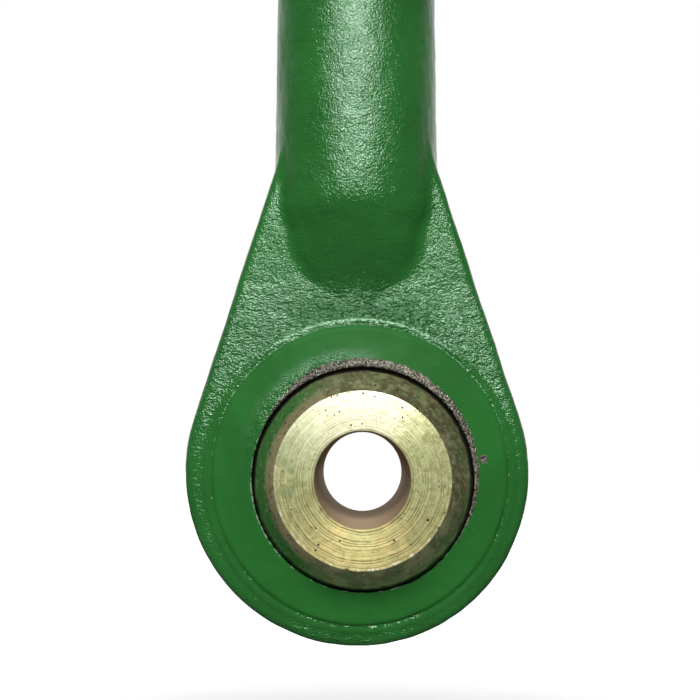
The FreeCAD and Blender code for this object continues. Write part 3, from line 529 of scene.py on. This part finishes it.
def forging_field(x, y, z):
    """The whole lower forging, with the slight unevenness of a forged skin."""
    fillet_from, fillet_to = (FOOT_TOE_Z + rise for rise in SIDE_FILLET_FROM_TOE)
    fillet = SIDE_FILLET + (FOOT_FILLET - SIDE_FILLET) * (1 - ramp(z, fillet_from, fillet_to))
    beside = x - SKIN_OFFSET_X * (1 - ramp(z, CENTRED_FROM_Z, CENTRED_AT_Z))
    skin = rounded_union(plate_field(beside, y, z), barrel_field(beside, y, z), fillet)
    skin = rounded_union(skin, boss_field(x - BOSS_OFFSET_X, y, z), BOSS_FOOT_ROUND)
    for height, wave, seed in FORGED_WAVES:
        skin = skin + height * lumps(x, y, z, wave, seed)
    return rounded_overlap(skin, -bored_field(x, y, z), LIP_SOFTNESS)


def add_piece(name, data):
    """An object of the scene with that mesh, camera or light."""
    piece = bpy.data.objects.new(name, data)
    bpy.context.scene.collection.objects.link(piece)
    return piece


def solid_from_field(name, low, high, cell, field):
    """A closed mesh where field(x, y, z) is zero, with all sizes in millimetres. The field is worked out in
    slabs, so that it needs little memory."""
    counts = [int(math.ceil((top - bottom) / cell)) + 1 for bottom, top in zip(low, high)]
    x = (low[0] + cell * np.arange(counts[0], dtype=np.float32))[:, None, None]
    y = (low[1] + cell * np.arange(counts[1], dtype=np.float32))[None, :, None]
    band = np.float32(GRID_BAND_CELLS * cell)
    values = np.empty(counts, np.float32)
    for start in range(0, counts[2], GRID_SLAB):
        stop = min(start + GRID_SLAB, counts[2])
        z = (low[2] + cell * np.arange(start, stop, dtype=np.float32))[None, None, :]
        values[:, :, start:stop] = np.clip(field(x, y, z), -band, band)
    grid = openvdb.FloatGrid(float(band))
    grid.copyFromArray(values)
    points, quads = grid.convertToQuads()
    points = (points * cell + np.array(low)) * MM
    mesh = bpy.data.meshes.new(name)
    mesh.vertices.add(len(points))
    mesh.vertices.foreach_set("co", points.astype(np.float32).ravel())
    mesh.loops.add(4 * len(quads))
    mesh.loops.foreach_set("vertex_index", quads.astype(np.int32).ravel())
    mesh.polygons.add(len(quads))
    mesh.polygons.foreach_set("loop_start", np.arange(0, 4 * len(quads), 4, dtype=np.int32))
    mesh.update(calc_edges=True)
    mesh.validate()
    mesh.shade_smooth()
    return add_piece(name, mesh)


def turned_piece(name, outline, segments):
    """A closed lathe piece about the Y axis, from (radius, y) points in millimetres."""
    count = len(outline)
    angles = np.arange(segments) * 2 * math.pi / segments
    verts = [
        (r * math.cos(a) * MM, y * MM, r * math.sin(a) * MM)
        for a in angles for r, y in outline
    ]
    faces = []
    for n in range(segments):
        here, there = n * count, (n + 1) % segments * count
        for k in range(count):
            after = (k + 1) % count
            faces.append((here + k, here + after, there + after, there + k))
    mesh = bpy.data.meshes.new(name)
    mesh.from_pydata(verts, [], faces)
    mesh.update()
    return add_piece(name, mesh)


def add_node(tree, kind, values=None, **settings):
    """A shader node. values maps an input's name or number to a value or to another node's output."""
    made = tree.nodes.new(kind)
    for key, value in settings.items():
        setattr(made, key, value)
    for key, value in (values or {}).items():
        if isinstance(value, bpy.types.NodeSocket):
            tree.links.new(value, made.inputs[key])
        else:
            made.inputs[key].default_value = value
    return made


def feed(tree, shader, **sources):
    """Links outputs to the shader's inputs. Each name is that of an input, with _ for a space."""
    for name, source in sources.items():
        tree.links.new(source, shader.inputs[name.replace("_", " ")])


def maths(tree, operation, first, second=0.0, clamp=False):
    """The output of one Math node."""
    made = add_node(tree, "ShaderNodeMath", {0: first, 1: second}, operation=operation, use_clamp=clamp)
    return made.outputs[0]


def product(tree, first, *others):
    """Numbers or outputs multiplied together."""
    for other in others:
        first = maths(tree, "MULTIPLY", first, other)
    return first


def largest(tree, first, *others):
    """The largest of some numbers or outputs."""
    for other in others:
        first = maths(tree, "MAXIMUM", first, other)
    return first


def opposite(tree, share):
    """1 where the share is 0, and 0 where it is 1."""
    return maths(tree, "SUBTRACT", 1.0, share)


def vector(tree, x, z=0.0):
    """A vector from an x and a z, with y at 0."""
    return add_node(tree, "ShaderNodeCombineXYZ", {0: x, 2: z}).outputs[0]


def vector_maths(tree, operation, first, second=(0, 0, 0)):
    """The number that comes out of one Vector Math node."""
    made = add_node(tree, "ShaderNodeVectorMath", {0: first, 1: second}, operation=operation)
    return made.outputs["Value"]


def noise(tree, where, width_mm, detail=2.0, rough=0.5, distortion=0.0):
    """Noise with features about width_mm wide."""
    made = add_node(tree, "ShaderNodeTexNoise", {
        "Vector": where,
        "Scale": 1 / (width_mm * MM),
        "Detail": detail,
        "Roughness": rough,
        "Distortion": distortion,
    })
    return made.outputs["Fac"]


def blend_number(tree, factor, low, high):
    """A number that goes from low to high with factor."""
    made = add_node(tree, "ShaderNodeMapRange", {"Value": factor, "To Min": low, "To Max": high})
    return made.outputs[0]


def steps(tree, value, low, high):
    """0 below low, 1 above high, smooth between."""
    made = add_node(tree, "ShaderNodeMapRange", {"Value": value, "From Min": low, "From Max": high})
    made.interpolation_type = "SMOOTHSTEP"
    return made.outputs[0]


def steps_mm(tree, value, low, high):
    """The same for a length, between two lengths in millimetres."""
    return steps(tree, value, low * MM, high * MM)


def patches(tree, where, name):
    """1 in the patches of a named noise, and 0 between them."""
    return steps(tree, noise(tree, where, *NOISES[name]), *PATCH_RANGES[name])


def linear(red, green, blue):
    """A colour as a screen shows it, from 0 to 255, as the shader needs it."""
    values = (c / 255 for c in (red, green, blue))
    return tuple(c / 12.92 if c <= 0.04045 else ((c + 0.055) / 1.055) ** 2.4 for c in values)


def blend_colour(tree, factor, first, second):
    """The mix of two colours, each the name of a colour, three linear numbers or an output."""
    made = tree.nodes.new("ShaderNodeMix")
    made.data_type = "RGBA"
    sockets = {"Factor": factor, "A": first, "B": second}
    for socket in made.inputs:
        if not socket.enabled or socket.name not in sockets:
            continue
        value = sockets[socket.name]
        if isinstance(value, str):
            value = linear(*COLOURS[value])
        if isinstance(value, bpy.types.NodeSocket):
            tree.links.new(value, socket)
        elif socket.name == "Factor":
            socket.default_value = value
        else:
            socket.default_value = (*value, 1.0)
    return next(output for output in made.outputs if output.enabled)


def tinted(tree, colour, name, *masks):
    """A colour with the named one over it where all the masks are 1, as strong as TINT_STRENGTHS says."""
    if name in TINT_STRENGTHS:
        masks = (*masks, TINT_STRENGTHS[name])
    return blend_colour(tree, product(tree, *masks), colour, name)


def bump(tree, height, depth, below=None):
    """A surface normal from a height. depth is what a height of 1 stands for, in metres, or an output."""
    values = {"Height": height, "Distance": depth, "Strength": 1.0}
    if below is not None:
        values["Normal"] = below
    return add_node(tree, "ShaderNodeBump", values).outputs["Normal"]


def new_material(name):
    """A material, its node tree, its main shader and object coordinates."""
    material = bpy.data.materials.new(name)
    material.use_nodes = True
    tree = material.node_tree
    shader = next(n for n in tree.nodes if n.type == "BSDF_PRINCIPLED")
    where = add_node(tree, "ShaderNodeTexCoord").outputs["Object"]
    return material, tree, shader, where


def place_on(tree, where):
    """The Place that belongs to object coordinates."""
    x, y, z = add_node(tree, "ShaderNodeSeparateXYZ", {0: where}).outputs
    flat = vector(tree, x, z)
    reach = vector_maths(tree, "LENGTH", flat)
    upward = maths(tree, "DIVIDE", z, reach)
    rightward = maths(tree, "DIVIDE", x, reach)
    return Place(where, x, y, z, flat, reach, upward, rightward, maths(tree, "ABSOLUTE", y))


def paint_skin(tree, where, grain, strokes=None, stroke_share=None):
    """The colour, roughness and normal that all the green paint shares. grain scales the depth of the
    bumps. strokes are drawn out coordinates for them, which count as much as stroke_share says."""
    colour = blend_colour(tree, patches(tree, where, "paint_tone"), "paint_dark", "paint")
    colour = tinted(tree, colour, "paint_light", patches(tree, where, "paint_specks"))
    rough = blend_number(tree, noise(tree, where, *NOISES["paint_roughness"]), *PAINT_ROUGHNESS)
    heights = {}
    for layer in ("fine_skin", "broad_skin"):
        heights[layer] = noise(tree, where, *NOISES[layer])
        if strokes is not None:
            stretched = noise(tree, strokes, *NOISES[layer])
            heights[layer] = blend_number(tree, stroke_share, heights[layer], stretched)
    uneven = blend_number(tree, noise(tree, where, *NOISES["paint_grain"]), *GRAIN_VARIES)
    grain = product(tree, grain, uneven)
    normal = bump(tree, heights["broad_skin"], product(tree, grain, grain, BROAD_DEPTH * MM))
    normal = bump(tree, heights["fine_skin"], product(tree, grain, FINE_DEPTH * MM), normal)
    return colour, rough, normal


def green_paint(name, grain):
    """Semi-gloss green paint over a rough forged or cast skin."""
    material, tree, shader, where = new_material(name)
    colour, rough, normal = paint_skin(tree, where, grain)
    feed(tree, shader, Base_Color=colour, Roughness=rough, Normal=normal)
    shader.inputs["Specular IOR Level"].default_value = PAINT_GLOSS
    shader.inputs["Specular Tint"].default_value = (*PAINT_GLINT, 1.0)
    return material


def rough_skin(tree, place, in_boss):
    """1 where the forging's skin is rough. The boss is smooth, but for a gritty patch at the upper left of
    its lip."""
    smooth_r, rough_r = BOSS_EDGE_R + SMOOTH_BEYOND_EDGE, BOSS_FOOT_R + ROUGH_BEYOND_FOOT
    off_boss = steps_mm(tree, in_boss, smooth_r, rough_r)
    on_plate = maths(tree, "LESS_THAN", place.depth, (PLATE_HALF - BELOW_PLATE_FACE) * MM)
    up_and_left = maths(tree, "DIVIDE", maths(tree, "SUBTRACT", place.z, place.x), place.reach)
    near, far = (LIP_R + away for away in GRITTY_LIP_ZONE)
    by_lip = opposite(tree, steps_mm(tree, place.reach, near, far))
    gritty = product(tree, steps(tree, up_and_left, *GRITTY_LIP_TURN), by_lip, GRITTY_LIP)
    return largest(tree, off_boss, on_plate, gritty)


def forging_grain(tree, place, in_boss, skin, on_barrel):
    """The grain of the forging's paint: least on the boss and the bead, most in the middle of the plate."""
    off_rim = opposite(tree, steps_mm(tree, place.z, *RIM_TO_PLATE_Z))
    on_plate = blend_number(tree, off_rim, PLATE_GRAIN, RIM_GRAIN)
    by_part = blend_number(tree, on_barrel, on_plate, BARREL_GRAIN)
    from_bead = maths(tree, "ABSOLUTE", maths(tree, "SUBTRACT", in_boss, BEAD_R * MM))
    off_bead = steps_mm(tree, from_bead, *BEAD_ZONE)
    off_middle = steps_mm(tree, maths(tree, "ABSOLUTE", place.x), *MIDDLE_ZONE)
    middle = product(tree, opposite(tree, off_middle), opposite(tree, on_barrel))
    return product(
        tree,
        blend_number(tree, skin, SMOOTH_GRAIN, 1.0),
        by_part,
        blend_number(tree, off_bead, BEAD_GRAIN, 1.0),
        blend_number(tree, middle, 1.0, MIDDLE_GRAIN),
    )


def worn_crescent(tree, place, on_lip):
    """1 on the ragged crescent of the lip that is worn bare, which is wider where it is higher."""
    toward = math.radians(WORN_MIDDLE_DEG)
    facing = vector_maths(tree, "DOT_PRODUCT", place.flat, (math.cos(toward), 0, math.sin(toward)))
    facing = maths(tree, "DIVIDE", facing, place.reach)
    end, full = (math.cos(math.radians(turn)) for turn in (WORN_HALF_DEG, WORN_HALF_DEG / 2))
    taper = steps(tree, facing, end, full)
    rise = maths(tree, "MAXIMUM", place.upward, 0.0)
    widest = blend_number(tree, rise, WORN_WIDTH * MM, (WORN_WIDTH + WORN_WIDER_ABOVE) * MM)
    wander = maths(tree, "SUBTRACT", noise(tree, place.where, *NOISES["worn_edge"]), 0.5)
    ragged = product(tree, wander, WORN_RAGGED * MM)
    edge = maths(tree, "ADD", maths(tree, "ADD", product(tree, taper, widest), ragged), LIP_R * MM)
    inside = maths(tree, "LESS_THAN", place.reach, edge)
    return product(tree, inside, on_lip, maths(tree, "GREATER_THAN", taper, WORN_LEAST))


def small_chip(tree, where):
    """1 in the one chip beside the lip."""
    away = vector_maths(tree, "DISTANCE", where, tuple(v * MM for v in CHIP_AT))
    ragged = product(tree, noise(tree, where, *NOISES["chip_edge"]), CHIP_RAGGED * MM)
    return maths(tree, "LESS_THAN", away, maths(tree, "ADD", ragged, CHIP_R * MM))


def forging_paint(name):
    """Green paint on the lower forging, worn to bare gritty steel on part of the lip, with one chip, and
    broken lighter paint along the lip's edge as a painted highlight.
    """
    material, tree, shader, where = new_material(name)
    place = place_on(tree, where)
    boss_x = maths(tree, "SUBTRACT", place.x, BOSS_OFFSET_X * MM)
    boss_z = maths(tree, "SUBTRACT", place.z, BOSS_RISE * MM)
    in_boss = vector_maths(tree, "LENGTH", vector(tree, boss_x, boss_z))
    skin = rough_skin(tree, place, in_boss)
    on_barrel = steps_mm(tree, place.z, *PLATE_TO_BARREL_Z)
    grain = forging_grain(tree, place, in_boss, skin, on_barrel)
    strokes = add_node(tree, "ShaderNodeMapping", {
        "Vector": where, "Rotation": (0, math.radians(STROKE_LEAN_DEG), 0), "Scale": STROKE_SCALE,
    }).outputs[0]
    colour, rough, normal = paint_skin(tree, where, grain, strokes, opposite(tree, on_barrel))

    # Patches of lighter paint along the lip's edge are a painted highlight
    lip_from, lip_to = ((LIP_R + away) * MM for away in LIP_BAND)
    on_lip = maths(tree, "GREATER_THAN", place.reach, lip_from)
    lip_edge = maths(tree, "LESS_THAN", place.reach, lip_to)
    colour = tinted(tree, colour, "painted_lip_highlight", lip_edge, on_lip, patches(tree, where, "lip_highlight_nicks"))

    in_socket = maths(tree, "LESS_THAN", vector_maths(tree, "LENGTH", where), (SOCKET_R + MASK_EDGE) * MM)
    bare = largest(tree, worn_crescent(tree, place, on_lip), small_chip(tree, where), in_socket)
    steel = blend_colour(tree, patches(tree, where, "steel_grit"), "bare_steel_dark", "bare_steel_light")
    steel = tinted(tree, steel, "socket_steel", in_socket)
    grit = noise(tree, where, *NOISES["steel_grit"])
    paint_rough = blend_number(tree, skin, SMOOTH_ROUGHNESS, rough)
    thick = maths(tree, "SUBTRACT", steps_mm(tree, place.z, *THICK_PAINT_Z), on_barrel)
    feed(
        tree, shader,
        Base_Color=blend_colour(tree, bare, colour, steel),
        Metallic=product(tree, bare, BARE_METALLIC),
        Roughness=blend_number(tree, bare, paint_rough, BARE_ROUGHNESS),
        Normal=bump(tree, product(tree, grit, bare), BARE_DEPTH * MM, normal),
        Specular_IOR_Level=blend_number(tree, skin, SMOOTH_GLOSS, PAINT_GLOSS),
        IOR=blend_number(tree, thick, PAINT_IOR, THICK_PAINT_IOR),
    )
    shader.inputs["Specular Tint"].default_value = (*PAINT_GLINT, 1.0)
    return material


def face_colour(tree, place, rings, breaks, low, pale):
    """The ball's flat face: yellow zinc, paler at the upper left as a painted highlight, browner below and
    greener at the sides as painted shade, with broken dark rings and painted glints on its rim.
    """
    where = place.where
    colour = blend_colour(tree, patches(tree, where, "face_tone"), "face_yellow", "face_straw")
    # Browner below is painted shade, and paler at the upper left is a painted highlight
    colour = tinted(tree, colour, "face_painted_shade", low)
    colour = tinted(tree, colour, "face_painted_highlight", pale)
    # The face's left and right sides are greener and darker, as painted shade
    side = steps(tree, maths(tree, "ABSOLUTE", place.rightward), *SIDE_TURN)
    colour = tinted(tree, colour, "face_shaded_side", side)
    mottled = blend_number(tree, pale, *MOTTLE_STRENGTH)
    colour = tinted(tree, colour, "face_mottle", patches(tree, where, "face_mottle"), mottled)
    colour = tinted(
        tree, colour, "face_green", patches(tree, where, "face_green"),
        blend_number(tree, pale, 1.0, GREEN_WHERE_PALE), blend_number(tree, low, 1.0, GREEN_WHERE_LOW),
    )
    # The rings grow darker below, as painted shade
    strength = blend_number(tree, breaks, RING_SHADE_LEAST, blend_number(tree, low, *RING_SHADE_MOST))
    shade = maths(tree, "MULTIPLY", steps(tree, rings, *RING_SHADE_RANGE), strength, clamp=True)
    colour = tinted(tree, colour, "ring_shade", shade)
    colour = tinted(tree, colour, "face_grime", patches(tree, where, "face_grime"))
    # Near-white patches on the nicks of the face's rim are painted glints
    rim_from, rim_to = (BALL_FACE_R + away for away in RIM_BAND)
    at_rim = steps_mm(tree, place.reach, rim_from, rim_to)
    colour = tinted(tree, colour, "rim_nick_glint", at_rim, patches(tree, where, "rim_nicks"))
    hollows = maths(tree, "LESS_THAN", noise(tree, where, *NOISES["rim_nicks"]), RIM_DARK_BELOW)
    return tinted(tree, colour, "rim_dark", at_rim, hollows)


def band_colour(tree, place):
    """The ball's round side: dull olive zinc, rust and scuffs, greener on the left toward the lip, patchy
    painted shadow at the top right, and near-black greasy dirt with painted shade in the gap by the lip.
    """
    where = place.where
    band = blend_colour(tree, patches(tree, where, "band_tone"), "band_olive", "band_green")
    band = tinted(tree, band, "band_rust", patches(tree, where, "band_rust"))
    # Greener on the left of the band, toward the lip
    leftish = steps(tree, product(tree, place.rightward, -1.0), *LEFT_TURN)
    toward_lip = opposite(tree, steps_mm(tree, place.depth, *LEFT_GREEN_DEPTH))
    band = tinted(tree, band, "band_left_green", leftish, toward_lip)
    band = tinted(tree, band, "band_beige", leftish, steps_mm(tree, place.depth, *BEIGE_DEPTH))
    # Patchy painted shadow on the top right of the band
    up_and_right = steps(tree, maths(tree, "ADD", place.upward, place.rightward), *TOP_SHADOW_TURN)
    band = tinted(tree, band, "band_top_shadow", up_and_right, patches(tree, where, "band_top_shadow"))
    band = tinted(tree, band, "band_scuffs", patches(tree, where, "band_scuffs"))
    band = tinted(tree, band, "band_smears", patches(tree, where, "band_smears"))
    # Near-black within the lip's depth is greasy dirt and painted shade in the gap
    wander = product(tree, noise(tree, where, *NOISES["grease_and_shade_edge"]), GREASE_AND_SHADE_WANDER * MM)
    grease_and_shade_edge = maths(tree, "ADD", wander, LIP_HALF * MM)
    past_grease_and_shade = steps_mm(tree, maths(tree, "SUBTRACT", place.depth, grease_and_shade_edge), 0.0, GREASE_AND_SHADE_FADE)
    return tinted(tree, band, "grease_and_gap_shade", opposite(tree, past_grease_and_shade))


def zinc_ball(name):
    """Yellow zinc plating on a turned ball: lathe marks and painted light and shade on the flat faces, and a
    dull oily round side with painted shade.
    """
    material, tree, shader, where = new_material(name)
    place = place_on(tree, where)
    off_face = maths(tree, "LESS_THAN", place.depth, (BALL_WIDTH / 2 - MASK_EDGE) * MM)
    off_bore = maths(tree, "GREATER_THAN", place.reach, (PIN_BORE_R + BORE_CHAMFER + BORE_EDGE_ROOM) * MM)
    sphere = product(tree, off_face, off_bore)
    bore = maths(tree, "LESS_THAN", place.reach, (PIN_BORE_R + MASK_EDGE) * MM)
    face_only = opposite(tree, sphere)
    # Where the face is painted browner below as shade, and paler at the upper left as a painted highlight
    low = steps(tree, product(tree, place.upward, -1.0), *LOW_TURN)
    up_and_left = maths(tree, "SUBTRACT", place.upward, product(tree, place.rightward, PALE_TO_LEFT))
    pale = steps(tree, up_and_left, *PALE_TURN)

    wander = product(tree, noise(tree, where, *NOISES["ring_wander"]), RING_WANDER * MM)
    rings = noise(tree, vector(tree, maths(tree, "ADD", place.reach, wander)), *NOISES["rings"])
    breaks = noise(tree, where, *NOISES["ring_breaks"])
    cells = add_node(tree, "ShaderNodeTexVoronoi", {
        "Vector": where, "Scale": 1 / (PIT_CELL * MM), "Randomness": 1.0,
    })
    pit = maths(tree, "LESS_THAN", cells.outputs["Distance"], blend_number(tree, breaks, *PIT_SIZE))

    face = face_colour(tree, place, rings, breaks, low, pale)
    colour = blend_colour(tree, sphere, face, band_colour(tree, place))
    colour = tinted(tree, colour, "bore_wall", bore)
    colour = tinted(tree, colour, "pit", pit)

    grooves = product(tree, rings, blend_number(tree, breaks, *RING_BREAKS), face_only)
    normal = bump(tree, grooves, RING_DEPTH * MM)
    normal = bump(tree, opposite(tree, pit), PIT_DEPTH * MM, normal)
    to_right = product(tree, place.x, NORMAL_LEANS_LEFT)
    to_top = product(tree, place.z, NORMAL_LEANS_UP)
    slope = maths(tree, "SUBTRACT", to_right, to_top)
    normal = bump(tree, product(tree, slope, face_only), 1.0, normal)

    rough = blend_number(tree, sphere, FACE_ROUGHNESS, BAND_ROUGHNESS)
    turned_gloss = blend_number(tree, pale, FACE_ANISOTROPY, PALE_ANISOTROPY)
    feed(
        tree, shader,
        Base_Color=colour,
        Roughness=maths(tree, "ADD", rough, product(tree, bore, BORE_ROUGHER)),
        Tangent=add_node(tree, "ShaderNodeTangent", direction_type="RADIAL", axis="Y").outputs[0],
        Anisotropic=product(tree, face_only, turned_gloss),
        Normal=normal,
    )
    shader.inputs["Metallic"].default_value = BALL_METALLIC
    shader.inputs["Anisotropic Rotation"].default_value = ANISOTROPY_TURN
    return material


def plain_metal(name):
    """Machined or plated metal: two tones, uneven gloss and a fine grain."""
    roughness, grain_mm, depth_mm = METALS[name]
    material, tree, shader, where = new_material(name)
    colour = blend_colour(tree, patches(tree, where, "metal_tone"), name + "_dark", name + "_light")
    rough = blend_number(tree, noise(tree, where, *NOISES["metal_roughness"]), *roughness)
    grain = noise(tree, where, grain_mm, METAL_GRAIN_DETAIL)
    feed(tree, shader, Base_Color=colour, Roughness=rough, Normal=bump(tree, grain, depth_mm * MM))
    shader.inputs["Metallic"].default_value = METAL_METALLIC
    return material


def soft_finish(name, colour):
    """Rubber, fibre or moulded plastic with a faint grain and a little dust."""
    rough, grain_mm, depth_mm = SOFT_FINISHES[name]
    material, tree, shader, where = new_material(name)
    dust = patches(tree, where, "dust")
    times, plus = DUST_LIGHTENS
    dusty = tuple(c * times + plus for c in colour)
    grain = noise(tree, where, grain_mm, SOFT_GRAIN_DETAIL)
    feed(
        tree, shader,
        Base_Color=blend_colour(tree, dust, colour, dusty),
        Roughness=blend_number(tree, dust, rough, rough + DUST_ROUGHENS),
        Normal=bump(tree, grain, depth_mm * MM),
    )
    return material


def dress(node, material):
    """Gives a CAD node its material."""
    mesh = frame["nodes"][node].data
    mesh.materials.clear()
    mesh.materials.append(material)


def cast_edges(node, voxel_mm, passes):
    """Rounds the edges of a cast or forged CAD node without touching its own mesh."""
    piece = frame["nodes"][node]
    remesh = piece.modifiers.new("skin", "REMESH")
    remesh.mode = "VOXEL"
    remesh.voxel_size = voxel_mm * MM
    remesh.use_smooth_shade = True
    smooth = piece.modifiers.new("soft_edges", "SMOOTH")
    smooth.factor = CAST_SMOOTHING
    smooth.iterations = passes


def make_camera():
    """The photograph's viewpoint, worked out from the ellipses and lines in it."""
    data = bpy.data.cameras.new("camera")
    data.sensor_width = CAMERA_SENSOR
    data.lens = CAMERA_SENSOR * CAMERA_FOCAL_PX / PICTURE_PX
    data.clip_start, data.clip_end = CAMERA_CLIP
    camera = add_piece("camera", data)
    pitch, yaw = math.radians(CAMERA_PITCH_DEG), math.radians(CAMERA_YAW_DEG)
    forward = Vector((-math.sin(yaw) * math.cos(pitch), math.cos(yaw) * math.cos(pitch), math.sin(pitch)))
    camera.location = Vector(CAMERA_AT) * MM
    camera.rotation_euler = forward.to_track_quat("-Z", "Y").to_euler()
    bpy.context.scene.camera = camera


def make_world():
    """A white backdrop, and a studio that is pale behind the object and dark in front of it."""
    world = bpy.data.worlds.new("studio")
    bpy.context.scene.world = world
    world.use_nodes = True
    tree = world.node_tree
    tree.nodes.clear()
    path = add_node(tree, "ShaderNodeLightPath").outputs
    way = add_node(tree, "ShaderNodeTexCoord").outputs["Generated"]
    forward = add_node(tree, "ShaderNodeSeparateXYZ", {0: way}).outputs[1]
    room = blend_number(tree, steps(tree, forward, *ROOM_TURN), FRONT_ROOM, BACK_ROOM)
    strength = largest(tree, room, path["Is Camera Ray"], path["Is Transmission Ray"])
    back = add_node(tree, "ShaderNodeBackground", {"Color": WHITE, "Strength": strength})
    out = add_node(tree, "ShaderNodeOutputWorld")
    tree.links.new(back.outputs[0], out.inputs[0])


def make_floor():
    """A plain pale floor below the hanging arm. It keeps the arm's shadow, and fades to white far away."""
    mesh = bpy.data.meshes.new("floor")
    corners = [(x * FLOOR_HALF, y * FLOOR_HALF, FLOOR_Z) for x, y in ((-1, -1), (1, -1), (1, 1), (-1, 1))]
    mesh.from_pydata(corners, [], [(0, 1, 2, 3)])
    floor = add_piece("floor", mesh)
    material, tree, shader, where = new_material("pale_floor")
    shader.inputs["Roughness"].default_value = FLOOR_ROUGHNESS
    shader.inputs["Emission Color"].default_value = WHITE
    shader.inputs["Specular IOR Level"].default_value = 0.0
    path = add_node(tree, "ShaderNodeLightPath").outputs
    tone = blend_colour(tree, path["Is Diffuse Ray"], (FLOOR_TONE,) * 3, (FLOOR_TONE_FOR_DIFFUSE,) * 3)
    tone = blend_colour(tree, path["Is Camera Ray"], tone, (FLOOR_TONE_SEEN,) * 3)
    away = vector_maths(tree, "LENGTH", where)
    fade = blend_number(tree, steps(tree, away, FLOOR_FADE_FROM, FLOOR_FADE_AT), *FLOOR_GLOW)
    feed(tree, shader, Base_Color=tone, Emission_Strength=product(tree, path["Is Camera Ray"], fade))
    mesh.materials.append(material)


def softbox(name, azimuth, elevation, distance, width, height, radiance, in_gloss):
    """A softbox turned to the eye of the arm. Azimuth 0 is behind the camera, positive is to its right."""
    turn, rise = math.radians(azimuth), math.radians(elevation)
    way = Vector((math.sin(turn) * math.cos(rise), -math.cos(turn) * math.cos(rise), math.sin(rise)))
    target = Vector(LIGHT_TARGET)
    at = target + way * distance
    data = bpy.data.lights.new(name, "AREA")
    data.shape = "RECTANGLE"
    data.size, data.size_y = width, height
    data.energy = radiance * math.pi * width * height
    lamp = add_piece(name, data)
    lamp.location = at
    lamp.rotation_euler = (target - at).to_track_quat("-Z", "Y").to_euler()
    lamp.visible_glossy = in_gloss


def make_forging():
    """The lower forging in place of its plain solid."""
    cell = GRID
    forging = solid_from_field("barrel_forging", FORGING_LOW, FORGING_HIGH, cell, forging_field)
    forging.data.materials.append(forging_paint("forging_paint"))
    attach(forging, "barrel")
    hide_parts("lower_barrel")


def make_ball():
    """The ball bushing in place of its plain solid: a turned sphere, flat faces and a chamfered bore."""
    half = BALL_WIDTH / 2
    face_turn = math.asin(half / BALL_R)
    turns = np.linspace(-face_turn, face_turn, BALL_BAND_POINTS)
    band = [(BALL_R * math.cos(a), BALL_R * math.sin(a)) for a in turns]
    near_bore = [(PIN_BORE_R, BORE_CHAMFER - half), (PIN_BORE_R + BORE_CHAMFER, -half)]
    far_bore = [(PIN_BORE_R + BORE_CHAMFER, half), (PIN_BORE_R, half - BORE_CHAMFER)]
    ball = turned_piece("turned_ball", near_bore + band + far_bore, BALL_TURN_STEPS)
    ball.data.materials.append(zinc_ball("yellow_zinc"))
    edges = ball.modifiers.new("edges", "BEVEL")
    edges.width = BALL_EDGE_ROUND * MM
    edges.segments = 2
    edges.limit_method = "ANGLE"
    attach(ball, "ball")
    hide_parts("ball_bushing")
    ball.data.shade_smooth()


def finish_nodes():
    """Gives every CAD node the finish of its slot, and softens the cast edges."""
    metals = {name: plain_metal(name) for name in METALS}
    finish_of = {
        "green_paint": green_paint("cast_paint", CAST_GRAIN),
        "yellow_zinc": metals["zinc_plate"],
        "screw_steel": metals["oiled_steel"],
        "gear_steel": metals["gear_steel"],
        "zinc_plate": metals["zinc_plate"],
        "bronze": metals["bronze"],
        "seal_rubber": soft_finish("seal_rubber", RUBBER_TONE),
        "gasket_fibre": soft_finish("gasket_fibre", linear(*COLOURS["gasket_fibre"])),
        "grip_plastic": soft_finish("grip_plastic", PLASTIC_TONE),
    }
    for entry in frame["record"]["subparts"]:
        dress(entry["node"], finish_of[entry["material_slot"]])
    smooth_paint = green_paint("smooth_paint", FINE_CAST_GRAIN)
    for node in ("crank_arm", "filler_plug"):
        dress(node, smooth_paint)
    for node, (voxel_mm, passes) in CAST_EDGES.items():
        cast_edges(node, voxel_mm, passes)


make_camera()
make_world()
make_floor()
for box_name, box_sizes in SOFTBOXES.items():
    softbox(box_name, *box_sizes)
make_forging()
make_ball()
finish_nodes()

view = bpy.context.scene.view_settings
view.view_transform = "Standard"
